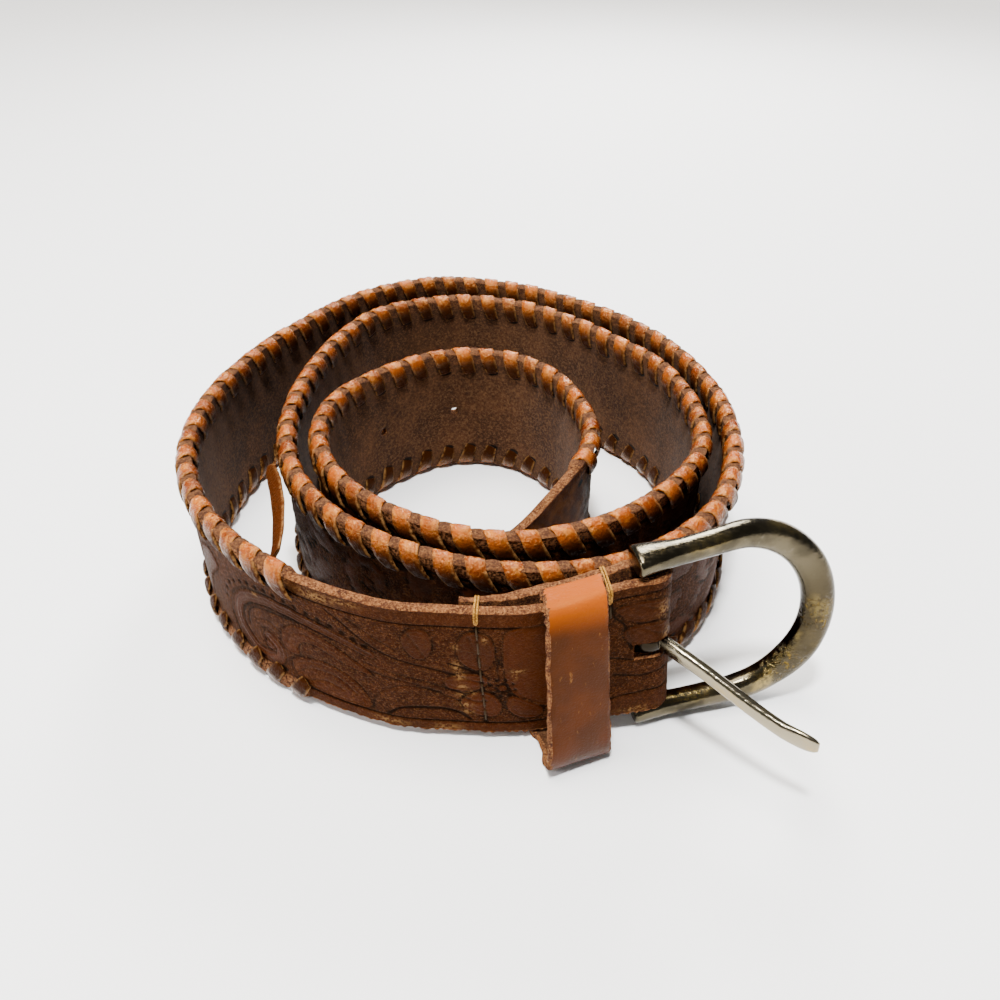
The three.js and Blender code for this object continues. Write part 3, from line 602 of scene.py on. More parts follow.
# Tooling: a height map over the strap's face, in millimetres. Shapes are stamped one over the other.
class Tooling:
    GROUND = -0.10
    RAISED = 0.07
    CUT = 0.2
    BEVEL = 0.5
    DEEPEST = -0.5
    # A fine line inside the rim of each raised shape
    RIM_DEPTH = 0.1
    RIM_INSET = 1.1
    RIM_WIDTH = 0.3

    def __init__(self, along, across):
        self.s, self.v = np.meshgrid(along, across, indexing="ij")
        self.height = np.full(self.s.shape, self.GROUND)
        self.polish = np.zeros(self.s.shape)
        self.scuff = np.zeros(self.s.shape)

    # Distance to a row of points, and whether each place lies inside when the row closes
    def measure(self, points, closed):
        points = np.array(points, float)
        ends = np.vstack([points, points[:1]]) if closed else points
        near = np.full(self.s.shape, 1e9)
        inside = np.zeros(self.s.shape, bool)
        for a, b in zip(ends[:-1], ends[1:]):
            run = b - a
            t = ((self.s - a[0]) * run[0] + (self.v - a[1]) * run[1]) / (run @ run)
            t = np.clip(t, 0, 1)
            near = np.minimum(near, np.hypot(self.s - a[0] - t * run[0], self.v - a[1] - t * run[1]))
            if closed and a[1] != b[1]:
                crossing = (a[1] > self.v) != (b[1] > self.v)
                inside ^= crossing & (self.s < a[0] + (self.v - a[1]) / run[1] * run[0])
        return near, inside

    def stamp(self, inside, raised=1.0, polish=1.0):
        edge = smooth(inside / 0.4)
        dome = self.RAISED * raised * (0.75 + 0.25 * smooth(inside / 2.0))
        outside = self.height - self.CUT * np.exp(np.minimum(inside, 0) / self.BEVEL * 1.5)
        top = -self.CUT + (dome + self.CUT) * edge
        top = top - self.RIM_DEPTH * np.exp(-((inside - self.RIM_INSET) / self.RIM_WIDTH) ** 2)
        self.height = np.where(inside > 0, top, np.maximum(outside, self.DEEPEST))
        self.polish = np.where(inside > 0, polish * edge, self.polish * (1 - np.exp(inside.clip(-9, 0))))

    # A raised shape with a smooth outline through the given places
    def shape(self, places, raised=1.0, polish=1.0):
        near, inside = self.measure(spline(places, True), True)
        self.stamp(np.where(inside, near, -near), raised, polish)

    # A swivel-knife cut, bevelled down on both sides
    def line(self, places, depth=0.2, width=0.32):
        near, _ = self.measure(spline(places, False), False)
        self.height = np.maximum(self.height - depth * np.exp(-(near / width) ** 2), self.DEEPEST - 0.1)

    def seeds(self, places, size=0.6, depth=0.34):
        for s, v in places:
            self.height -= depth * np.exp(-((self.s - s) ** 2 + (self.v - v) ** 2) / size ** 2)

    # Worn places, where the finish has flaked: distance, height, reach along and up
    def wear(self, places):
        for s, v, long, high in places:
            spot = np.exp(-((self.s - s) / long) ** 2 - ((self.v - v) / high) ** 2)
            self.scuff = np.maximum(self.scuff, spot)

    # A pointed leaf from its root, bent sideways, with a midrib and fine veins
    def leaf(self, s, v, angle, length, width, bend=0.0, veins=1.6):
        x, y = self.local(s, v, angle)
        t = x / length
        y = y - bend * length * t * t
        half = width / 2 * np.sin(np.pi * np.clip(t, 0, 1) ** 0.8) ** 0.75
        within = (t > 0) & (t < 1)
        inside = np.where(within, half - np.abs(y), -np.hypot(np.maximum(-x, x - length), y))
        self.stamp(inside)
        on = smooth(inside / 0.8)
        self.height -= on * 0.14 * np.exp(-(y / 0.35) ** 2) * (t < 0.88)
        wave = np.cos((x - np.abs(y) * 0.9) * 2 * math.pi / veins)
        self.height += on * 0.05 * wave * smooth(np.abs(y) / 1.2)

    def local(self, s, v, angle):
        turn = math.radians(angle)
        ds, dv = self.s - s, self.v - v
        return ds * math.cos(turn) + dv * math.sin(turn), dv * math.cos(turn) - ds * math.sin(turn)

    def flower(self, s, v, radius, petals=6, turned=0.0):
        for k in range(petals):
            turn = math.radians(turned + 360 * k / petals)
            x, y = self.local(s, v, math.degrees(turn))
            inside = (1 - np.hypot((x - radius * 0.58) / radius / 0.46, y / radius / 0.38)) * radius * 0.38
            self.stamp(inside)
            on = smooth(inside / 0.8) * smooth((radius * 0.75 - x) / 2)
            self.height -= on * 0.12 * np.exp(-((y - 0.15 * x) / 0.4) ** 2)
        self.centre(s, v, radius * 0.18)

    # A flower's centre with a ring of beads
    def centre(self, s, v, radius):
        x, y = self.local(s, v, 0)
        r = np.hypot(x, y)
        self.stamp(radius - r)
        bead = np.cos(np.arctan2(y, x) * 8)
        self.height -= 0.16 * np.exp(-((r - radius * 1.5) / 0.4) ** 2) * (0.6 + 0.4 * bead)
        self.height -= 0.16 * np.exp(-(r / 0.4) ** 2)

    def band(self, points, widths):
        points = np.array(points, float)
        near = np.full(self.s.shape, 1e9)
        for (a, b), (wide, next_) in zip(zip(points[:-1], points[1:]), zip(widths[:-1], widths[1:])):
            run = b - a
            t = ((self.s - a[0]) * run[0] + (self.v - a[1]) * run[1]) / (run @ run)
            t = np.clip(t, 0, 1)
            d = np.hypot(self.s - a[0] - t * run[0], self.v - a[1] - t * run[1])
            near = np.minimum(near, d - (wide + (next_ - wide) * t) / 2)
        self.stamp(-near)
        self.height -= 0.12 * np.exp(-((-near - 0.9) / 0.3) ** 2) * (near < 0)

    def scroll(self, s, v, radius, start, turn, wide, narrow, inner=0.25):
        count = 30
        angles = np.radians(start + turn * np.linspace(0, 1, count))
        radii = radius * (1 - (1 - inner) * np.linspace(0, 1, count))
        points = np.stack([s + radii * np.cos(angles), v + radii * np.sin(angles)], 1)
        self.band(points, np.linspace(wide, narrow, count))
        x, y = self.local(*points[-1], 0)
        self.stamp(narrow * 0.62 - np.hypot(x, y))

    def border(self, lower, upper):
        for line in (lower, upper):
            self.height -= 0.24 * np.exp(-((self.v - line) / 0.3) ** 2)
        rim = smooth(np.maximum(lower - self.v, self.v - upper) / 0.5)
        slant = np.sin((self.s + 0.35 * self.v) * 2 * math.pi / 0.95)
        self.height = self.height * (1 - rim) + rim * (-0.02 + 0.035 * slant)
        self.polish = self.polish * (1 - rim) + rim * 0.45


# A smooth row of points through the given places
def spline(places, closed, steps=7):
    p = np.array(places, float)
    if closed:
        p = np.vstack([p[-1:], p, p[:2]])
    else:
        p = np.vstack([2 * p[0] - p[1], p, 2 * p[-1] - p[-2]])
    points = []
    for a, b, c, d in zip(p[:-3], p[1:-2], p[2:-1], p[3:]):
        for t in np.linspace(0, 1, steps, endpoint=False):
            points.append(0.5 * (2 * b + (c - a) * t + (2 * a - 5 * b + 4 * c - d) * t ** 2
                                 + (3 * b - a - 3 * c + d) * t ** 3))
    return np.array(points) if closed else np.vstack([points, p[-2:-1]])


def arc_points(s, v, radius, start, turn, count=24, squeeze=1.0):
    angles = np.radians(start + turn * np.linspace(0, 1, count))
    return np.stack([s + radius * np.cos(angles), v + radius * squeeze * np.sin(angles)], 1)


# The front's own arrangement: a flower beside the keeper, leaves and a large scroll towards the lacing.
# Places are distance from the bar and height above the lower edge.
PETALS = [
    [
        (31.5, 33.0), (32.7, 25), (32.2, 20), (31, 14.5), (27, 9.5), (22, 8.5), (18, 14), (17.5, 24),
        (22, 33.2),
    ],
    [(36, 31.5), (40, 32.2), (42.4, 28), (41.5, 23), (38, 20.6), (35.4, 21.5), (34.2, 25), (34.6, 29)],
    [(48.3, 31.5), (52, 32.4), (54, 28.8), (52.5, 24.5), (50, 23.2), (47.6, 26)],
    [(36, 18.6), (40.5, 19.6), (45, 17.6), (44.5, 14.6), (40, 13.8), (36.3, 15.4)],
    [(35.4, 13.6), (39.5, 13.0), (41.8, 9.8), (38.5, 6.2), (34, 5.6), (32.6, 9.5)],
    [(31, 12.4), (31.6, 8.5), (29, 5.2), (25, 4.6), (23.6, 7.2), (27, 10.6)],
    [(8.2, 32.4), (4, 33.4), (-2, 33.0), (-3.8, 29.6), (0, 27.6), (4.9, 28.2)],
    [(6.6, 25.8), (2, 27.0), (-3, 26.2), (-3.9, 21), (0, 18.8), (4.4, 20.6)],
]
BIG_LEAF = [
    (83, 10.6), (79.5, 13.3), (73, 14.7), (67.5, 13.2), (64, 10), (62.3, 6.5), (63.0, 3.9), (70, 3.4),
    (78, 4.0), (82, 6.6),
]
SCROLL_LEAF = [
    (85, 14.5), (84.9, 18.5), (82.7, 21.6), (79, 23.3), (74, 23), (68, 20.6), (61, 15.8), (66, 16.2),
    (71, 18.0), (75.5, 19.3), (79, 18.2), (80.3, 16.0), (80.4, 13.8), (83, 13.2),
]
BIG_SCROLL = [
    (61, 22.3), (68, 24.7), (76, 26.2), (84, 26.4), (91, 25.2), (97, 22.3), (100.6, 17.6), (101, 12.4),
    (97.6, 8.2), (92.5, 6.8), (88, 8.6), (87.0, 12.0), (89.4, 13.8),
]
SEED_ROW = [
    (106.2, 16.6), (104.9, 20), (102.8, 22.9), (100.2, 25), (97.2, 26.6), (94.2, 27.7), (91.2, 28.4),
    (88.2, 28.9), (85.2, 29.2), (82.2, 29.3), (79.2, 29.2), (76.2, 28.9), (73.2, 28.4), (70.2, 27.7),
    (67.4, 26.8), (64.8, 25.8), (62.2, 24.6),
]
SIDE_LEAF = [(119, 8), (114.5, 17), (107.5, 24.5), (112, 27.6), (119, 23), (123, 14)]
KNIFE_LINES = [
    [(71, 32.4), (67, 29.8), (63.5, 26.8), (58, 23.6), (52, 21.6), (46, 19.8), (36.6, 16.6)],
    [(58.5, 3.6), (55, 6.6), (50, 7.7), (44, 7.2), (39.5, 4.2)],
    [(81, 8.5), (76.5, 11), (70, 11.2), (65.6, 7.6)],
    [(79, 6), (73.5, 8.4), (69, 7.6)],
    [(83.2, 16.8), (81.6, 20), (77, 21.6), (71.5, 20)],
    [(96.8, 14), (96, 18.5), (92.5, 21.6), (86.4, 23.4), (79, 24.5)],
    [(105.0, 12.5), (102.6, 6.4), (96, 3.6)],
    [(52.6, 31.0), (50.9, 27.6), (49.4, 24.4)], [(39.6, 30.6), (38.4, 26.4), (37.4, 22.2)],
    [(44.2, 22.4), (40.2, 20.8), (37.2, 19.4)], [(41.4, 12), (38.4, 10.6), (36, 10.8)],
    [(9.4, 37), (8.8, 31), (6.6, 28), (5.4, 24), (4.8, 20.2)],
    [(9.4, 18.8), (4, 16.9), (-4, 16.2)], [(8.6, 13.4), (3, 11.8), (-3, 12.8)],
    [(2.6, 32.0), (-1.6, 30.6)], [(1.4, 25.4), (-2.6, 22.6)],
]

# Long shallow lines that sweep from the large scroll towards the keeper
LONG_LINES = [
    [(61.8, 4.4), (60.7, 9.4), (57, 13), (53.6, 14.4), (49.3, 13.7), (43, 10.9), (36.8, 7.3)],
    [(57.9, 4.2), (55, 6.6), (49.3, 7.3), (42, 6.6), (39.5, 4.2)],
    [(62.9, 19.4), (57, 18.2), (50, 16.4), (43, 13.6), (37.4, 11.6)],
    [(63.6, 17.2), (58, 16.4), (52, 15.2), (46, 12.9)],
    [(78, 12.6), (73, 13.0), (68, 11.4), (65.0, 8.4), (63.6, 5.4)],
    [(78.4, 9.8), (74, 10.4), (70, 8.8), (67.4, 6.0)],
    [(77.6, 7.4), (74, 7.6), (71.4, 5.4)],
    [(96, 9.4), (98.6, 13), (97.8, 18), (93, 22.6), (86, 24.6), (78, 24.8), (70, 23.4)],
    [(103, 8), (104.6, 13.6), (102.4, 20), (97, 25.2), (89, 27.6), (80, 28.1), (71, 26.9)],
    [(92.5, 15.4), (89, 17.2), (85.9, 15.6)], [(93.6, 17.6), (89, 19.6), (84.8, 18)],
    [(83, 24.8), (80, 26.3), (76, 26.2)], [(77, 20.4), (72, 19.4), (66, 16.8)],
    [(33.4, 24), (33.8, 21), (33.3, 17.8)], [(29.6, 31), (28.6, 25), (29.6, 19)],
    [(26.8, 31), (25.8, 24), (27.4, 17)], [(66, 32), (60, 28), (55.4, 25.4)],
]

# Where the thread rows run down the face, and where the finish has flaked
THREAD_ROW = [(38.2, 34.5), (37.7, 26), (37.2, 18), (36.5, 9), (36.0, 1)]
BAR_THREAD_ROW = [(9.6, 35.4), (9.4, 29.5)]
SCUFFS = [
    (42.4, 21.6, 0.9, 1.4), (41.8, 18.6, 1.1, 1.2), (41.3, 15.4, 1.2, 0.6), (41.2, 12.4, 1.4, 0.6),
    (40.6, 9.4, 1.5, 0.7), (40.0, 7.0, 1.2, 0.7), (39.2, 13.4, 0.7, 0.7), (45.0, 1.2, 2.8, 0.9),
    (29.4, 20.6, 1.6, 0.5), (30.0, 19.2, 0.5, 1.1), (42.5, 27.6, 0.5, 0.7), (36.4, 30.4, 0.5, 1.0),
    (58.0, 1.6, 4.0, 0.8), (73.0, 35.6, 4.0, 1.2), (92.0, 26.4, 1.0, 0.8), (66.0, 36.4, 3.0, 0.7),
    (-1.8, 30.0, 1.0, 2.4), (-2.6, 22.0, 0.8, 2.6), (4.0, 1.4, 3.0, 0.9), (14.0, 24.0, 0.5, 1.2),
]


def tool_front(map_):
    map_.shape(SIDE_LEAF)
    for places in LONG_LINES:
        map_.line(places, 0.14, 0.3)
    map_.band(spline(BIG_SCROLL, False), np.linspace(2.4, 4.4, 7 * (len(BIG_SCROLL) - 1) + 1))
    map_.centre(90.0, 11.4, 1.3)
    map_.seeds(SEED_ROW)
    map_.shape(SCROLL_LEAF, 0.6, 0.4)
    map_.shape(BIG_LEAF, 0.6, 0.3)
    for petal in PETALS:
        map_.shape(petal, 0.8)
    map_.centre(32.6, 15.0, 1.0)
    map_.seeds(arc_points(32.6, 15.0, 2.7, 20, 300, 8), 0.45, 0.3)
    for places in KNIFE_LINES:
        map_.line(places)
    map_.line(THREAD_ROW, 0.22, 0.45)
    map_.wear(SCUFFS)


# One stretch of the running pattern of flowers, scrolls and leaves
REPEAT = 92.0
PLAIN_END = 52.0


def tool_repeat(map_, from_s):
    o = from_s
    map_.band(arc_points(o + 22, 4, 17, 150, -120, squeeze=0.9), np.linspace(3.4, 2.2, 24))
    map_.band(arc_points(o + 66, 34, 17, 205, 130, squeeze=0.9), np.linspace(2.2, 3.6, 24))
    map_.seeds(arc_points(o + 66, 34, 19.3, 215, 90, 13, 0.9))
    map_.scroll(o + 30, 24.5, 7.0, -70, 360, 4.0, 2.4)
    map_.scroll(o + 60, 13.5, 7.0, 110, 360, 4.0, 2.4)
    map_.leaf(o + 14, 25, 60, 12, 6.6, 0.18)
    map_.leaf(o + 40, 27, 12, 17, 7.4, 0.14)
    map_.leaf(o + 44, 20.5, -35, 14, 6.4, -0.2)
    map_.leaf(o + 20, 12, -40, 12, 6.4, 0.2)
    map_.leaf(o + 50, 9, 190, 17, 7.4, 0.14)
    map_.leaf(o + 72, 13, -25, 14, 7.0, 0.2)
    map_.leaf(o + 73, 26, 30, 13, 6.6, -0.2)
    map_.flower(o, 19, 12.6, 6, 12)


FIRST_FLOWER = 138.0


def tooled(along, across):
    map_ = Tooling(along, across)
    tool_front(map_)
    lowest, highest = min(along), max(along)
    first = math.floor((lowest - FIRST_FLOWER) / REPEAT) - 1
    for k in range(first, math.ceil((highest - FIRST_FLOWER) / REPEAT) + 1):
        flower = FIRST_FLOWER + k * REPEAT
        beside_front = -REPEAT < flower < FIRST_FLOWER
        if not beside_front and flower + REPEAT > lowest - 14 and flower < highest + 14:
            tool_repeat(map_, flower)
    lower = np.interp(map_.s, [0, 10, 24], [6.8, 6.0, 3.2])
    upper = np.interp(map_.s, [0, 10, 24], [STRAP_WIDTH - 2.5, STRAP_WIDTH - 3.0, STRAP_WIDTH - 4.3])
    map_.border(lower, upper)
    beyond = smooth((map_.s - LINE_LENGTH + PLAIN_END) / 8)
    map_.height *= 1 - beyond
    map_.polish = map_.polish * (1 - beyond) + 0.5 * beyond
    return map_


# The strap's cross-section: the tooled face, the upper edge, the flesh side and the lower edge
EDGE_ROUND = 0.45
EDGE_POINTS = 5
EDGE_RISE = 0.5
EDGE_SWELL = 0.8
SIDE_SWELL = 0.6
SWELL_REACH = 5.0
STITCH_PLACE = 0.43
FACE_SINK = 0.2
FINE_STEP = 0.38
COARSE_STEP = 1.4
FINE_ROWS = 94
COARSE_ROWS = 42
FINE_TO = 128.0
LOOP_STEPS = 18
LOOP_ARC = math.pi * LOOP_RADIUS
# Where the drawn slot opens beside the bar's axis, and a drawn hole's radius by its full diameter
SLOT_OPENS = -4.2
HOLE_OPEN = 0.36


def strap_stops(low, high, step):
    return np.linspace(low, high, max(2, round((high - low) / step) + 1))


# Middle line, outward direction, thickness and width share for one stretch, by distance from the bar.
# Distances below 0 run round the loop and back along the folded layer.
def strap_line(distance):
    point, _, outward = line_at(distance)
    thick = np.full(len(distance), STRAP_THICK)
    width = np.interp(LINE_LENGTH - distance, [r[0] * TIP_LENGTH for r in TIP], [r[1] for r in TIP])
    for i, d in enumerate(distance):
        if d >= 0:
            continue
        if d > -LOOP_ARC:
            angle = -d / LOOP_RADIUS
            away = start_outward * math.cos(angle) + to_buckle * math.sin(angle)
            point[i] = bar_foot + away * LOOP_RADIUS
            outward[i] = away
            continue
        back = -d - LOOP_ARC
        share = back / FOLD_LENGTH
        open_ = between(FOLD, share)
        lying = STRAP_THICK + GAP
        offset = lying + (LAYER_OFFSET - lying) * open_
        if open_ > 1:
            offset = LAYER_OFFSET + (2 * LOOP_RADIUS - LAYER_OFFSET) * (open_ - 1)
        place, _, out = line_at(back)
        point[i] = place[0] - out[0] * offset
        outward[i] = -out[0]
        thick[i] = SKIVED_THICK + (STRAP_THICK - SKIVED_THICK) * min(1, (1 - share) / SKIVED_SHARE)
    return point, outward, thick, width


# Rings of one stretch of strap, with the values that its materials read
def strap_rings(distance, rows, inner_rows, seed):
    count = len(distance)
    point, outward, thick, width = strap_line(distance)
    laced = smooth((distance - LACED_FROM + 2) / 3) * smooth((LACED_TO + 2 - distance) / 3)
    half = STRAP_WIDTH / 2 * width
    phase = (distance - LACED_FROM) / STITCH_PITCH - STITCH_PLACE
    bulge = laced * (0.5 - 0.5 * np.cos(2 * math.pi * phase)) ** 0.8
    rise = EDGE_RISE * laced + EDGE_SWELL * bulge
    face = np.linspace(0, STRAP_WIDTH, rows + 2)[1:-1]
    map_ = tooled(distance, face)
    middle = STRAP_BOTTOM + STRAP_WIDTH / 2
    lateral, height, relief, polish, across, scuff = [], [], [], [], [], []
    for j, v in enumerate(face):
        beside_edge = smooth((SWELL_REACH - min(v, STRAP_WIDTH - v)) / 3)
        swell = SIDE_SWELL * bulge * beside_edge
        lateral.append(thick / 2 - FACE_SINK + map_.height[:, j] * (1 - laced * beside_edge) + swell)
        height.append(middle + (v / STRAP_WIDTH * 2 - 1) * (half + rise * 0.9))
        relief.append(map_.height[:, j])
        polish.append(map_.polish[:, j])
        scuff.append(map_.scuff[:, j])
        across.append(v)
    edges = rough((count, 2, EDGE_POINTS), seed, 1) * 0.11
    zero = np.zeros(count)

    def edge_rows(side, order):
        for k in order:
            angle = math.pi * (k + 0.5) / EDGE_POINTS
            across_edge = math.copysign(abs(math.cos(angle)) ** 0.6, math.cos(angle))
            lift = (EDGE_ROUND + 0.6 * bulge) * (math.sin(angle) ** 0.6 - 1)
            noise = edges[:, (side + 1) // 2, k]
            lateral.append(across_edge * (thick / 2 - 0.12 + SIDE_SWELL * bulge) + noise * 0.6)
            height.append(middle + side * (half + rise + lift + noise))
            relief.append(zero)
            polish.append(zero)
            scuff.append(zero)
            across.append(STRAP_WIDTH if side > 0 else 0.0)

    edge_rows(1, range(EDGE_POINTS))
    nap = rough((count, inner_rows), seed + 1, 2) * 0.07
    for j, v in enumerate(np.linspace(STRAP_WIDTH, 0, inner_rows + 2)[1:-1]):
        beside_edge = smooth((SWELL_REACH - min(v, STRAP_WIDTH - v)) / 3)
        lateral.append(-thick / 2 + 0.05 + nap[:, j] - SIDE_SWELL * bulge * beside_edge)
        height.append(middle + (v / STRAP_WIDTH * 2 - 1) * (half + rise * 0.9))
        relief.append(zero)
        polish.append(zero)
        scuff.append(zero)
        across.append(v)
    edge_rows(-1, reversed(range(EDGE_POINTS)))
    columns = (lateral, height, relief, polish, scuff)
    lateral, height, relief, polish, scuff = (np.stack(column, 1) for column in columns)
    rings = point[:, None] + outward[:, None] * lateral[..., None]
    rings[..., 2] = height
    front = distance < LACED_FROM + 5
    rings[front] = settle(rings[front])
    across = np.array(across)
    stitch = (distance - LACED_FROM) / STITCH_PITCH
    edge = np.minimum(across, STRAP_WIDTH - across)
    plain = smooth((distance - LINE_LENGTH + PLAIN_END) / 8)
    values = {
        "relief": relief, "polish": polish, "scuff": scuff,
        "plain": np.broadcast_to(plain[:, None], relief.shape),
        "stitch": np.broadcast_to(stitch[:, None], relief.shape),
        "edge": np.broadcast_to(edge, relief.shape),
        "laced": np.broadcast_to(laced[:, None], relief.shape),
    }
    slots = [0] * rows + [2] * EDGE_POINTS + [1] * inner_rows + [2] * EDGE_POINTS
    return rings, values, slots


def box_cutter(name, low, high):
    corners = [(x, y, z) for x in (low[0], high[0]) for y in (low[1], high[1]) for z in (low[2], high[2])]
    points = in_row(np.array([in_buckle(*corner) for corner in corners])).reshape(-1, 3)
    faces = [(0, 1, 3, 2), (4, 6, 7, 5), (0, 4, 5, 1), (2, 3, 7, 6), (0, 2, 6, 4), (1, 5, 7, 3)]
    mesh = bpy.data.meshes.new(name)
    mesh.from_pydata(points.tolist(), [], faces)
    mesh.materials.append(RAW_EDGE)
    outwards(mesh)
    return add_object(name, mesh)


# The room round the prong's eye, which the leather closes over in front
def eye_cutter(name, half, sides=48):
    radius = BAR_DIAMETER / 2 + EYE_GAP + EYE_WALL + GAP
    angles = np.arange(sides) * 2 * math.pi / sides
    rings = [in_buckle(radius * np.cos(angles), radius * np.sin(angles), h) for h in (-half, half)]
    return ring_mesh(name, np.array(rings), [FLESH_SIDE])


def outwards(mesh):
    work = bmesh.new()
    work.from_mesh(mesh)
    bmesh.ops.recalc_face_normals(work, faces=work.faces)
    work.to_mesh(mesh)
    work.free()


def bore_cutter(name, distance, radius, reach, sides=24):
    point, _, outward = (rows[0] for rows in line_at(distance))
    turn = Vector((0, 0, 1)).rotation_difference(Vector(outward)).to_matrix()
    place = point + UP * (STRAP_BOTTOM + STRAP_WIDTH / 2)
    rings = []
    for end in (-reach, reach):
        angles = np.arange(sides) * 2 * math.pi / sides
        local = np.stack([radius * np.cos(angles), radius * np.sin(angles), np.full(sides, end)], 1)
        rings.append(local @ np.array(turn).T + place)
    return ring_mesh(name, np.array(rings), [RAW_EDGE])


def cut(piece, cutter, operation="DIFFERENCE"):
    modifier = piece.modifiers.new("cut", "BOOLEAN")
    modifier.operation = operation
    modifier.solver = "MANIFOLD"
    modifier.object = cutter
    modifier.material_mode = "TRANSFER"
    with_cut = piece.evaluated_get(bpy.context.evaluated_depsgraph_get())
    mesh = bpy.data.meshes.new_from_object(with_cut)
    piece.modifiers.clear()
    piece.data = mesh
    bpy.data.objects.remove(cutter)


# The fine front stretch and the coarser coil are two pieces that meet end to end.
def make_strap():
    loop = np.linspace(-LOOP_ARC, 0, LOOP_STEPS + 1)
    fold = strap_stops(-LOOP_ARC - FOLD_LENGTH, -LOOP_ARC, 1.0)
    front = strap_stops(0, FINE_TO, FINE_STEP)
    fine = np.concatenate([fold, loop[1:], front[1:]])
    rings, values, slots = strap_rings(fine, FINE_ROWS, 10, SEED)
    strap = ring_mesh("strap_front_half", rings, [GRAIN_SIDE, FLESH_SIDE, RAW_EDGE], slots, values)
    coil = np.concatenate([
        strap_stops(FINE_TO, LINE_LENGTH - TIP_LENGTH, COARSE_STEP),
        strap_stops(LINE_LENGTH - TIP_LENGTH, LINE_LENGTH, 0.8)[1:],
    ])
    coil_rings, coil_values, coil_slots = strap_rings(coil, COARSE_ROWS, 10, SEED + 5)
    rest = ring_mesh("strap_coil", coil_rings, [GRAIN_SIDE, FLESH_SIDE, RAW_EDGE], coil_slots, coil_values)
    reach = LOOP_RADIUS + STRAP_THICK
    half = PRONG_WIDTH / 2 + SLOT_GAP
    cut(strap, box_cutter("slot_cutter", (SLOT_OPENS, -reach, -half), (reach, reach, half)))
    cut(strap, eye_cutter("eye_cutter", half))
    for i in range(HOLE_COUNT):
        distance = LINE_LENGTH - FIRST_HOLE_FROM_TIP - i * HOLE_PITCH
        cut(rest, bore_cutter("hole_cutter", distance, HOLE_DIAMETER * HOLE_OPEN, STRAP_THICK))
    return strap, rest


# One stitch over the upper edge, from its inner foot to its outer foot: along, outward and up
FOOT = STRAP_THICK / 2
STITCH_PATH = [
    (2.6, -FOOT - 0.05, -5.7), (2.1, -FOOT - 0.70, -4.7), (1.5, -FOOT - 0.90, -2.6),
    (0.9, -FOOT - 0.80, -0.5), (0.5, -1.0, 1.05), (0.0, 0.0, 1.4), (-0.5, 1.0, 1.05),
    (-1.2, FOOT + 0.85, -0.6), (-2.3, FOOT + 0.90, -2.5), (-3.6, FOOT + 0.75, -4.6),
    (-4.4, FOOT - 0.1, -5.8),
]
STITCH_WIDTHS = [3.4, 4.0, 4.4, 4.7, 4.8, 4.8, 4.8, 4.8, 4.7, 4.4, 3.8]
STITCH_THICKS = [0.8, 1.0, 1.15, 1.2, 1.2, 1.2, 1.2, 1.2, 1.15, 1.0, 0.8]


def stitch_mesh(name, side):
    path = np.array(STITCH_PATH) * (1, 1, side)
    stops = np.linspace(0, len(path) - 1, 13)
    path = np.stack([np.interp(stops, range(len(path)), path[:, k]) for k in range(3)], 1)
    widths = np.interp(stops, range(len(STITCH_WIDTHS)), STITCH_WIDTHS)
    thicks = np.interp(stops, range(len(STITCH_THICKS)), STITCH_THICKS)
    rings, reach, sides = [], [], []
    for i, place in enumerate(path):
        run = path[min(i + 1, len(path) - 1)] - path[max(i - 1, 0)]
        run /= np.linalg.norm(run)
        wide = np.array((1.0, 0, 0)) - run * run[0]
        wide /= np.linalg.norm(wide)
        thin = np.cross(run, wide)
        ring = []
        for k in range(8):
            angle = math.pi * (k + 0.5) / 4
            across = math.copysign(abs(math.cos(angle)) ** 0.7, math.cos(angle))
            deep = math.copysign(abs(math.sin(angle)) ** 0.7, math.sin(angle))
            ring.append(place + wide * across * widths[i] / 2 + thin * deep * thicks[i] / 2)
            sides.append(abs(across))
            reach.append(2 * i / (len(path) - 1) - 1)
        rings.append(ring)
    rings = np.array(rings)
    shape = rings.shape[:2]
    values = {"reach": np.reshape(reach, shape), "side": np.reshape(sides, shape)}
    # Its own coordinates start at nought, so the row's shift is taken off again.
    return ring_mesh(name, rings - SHIFT, [LACE], None, values, sharp=80)


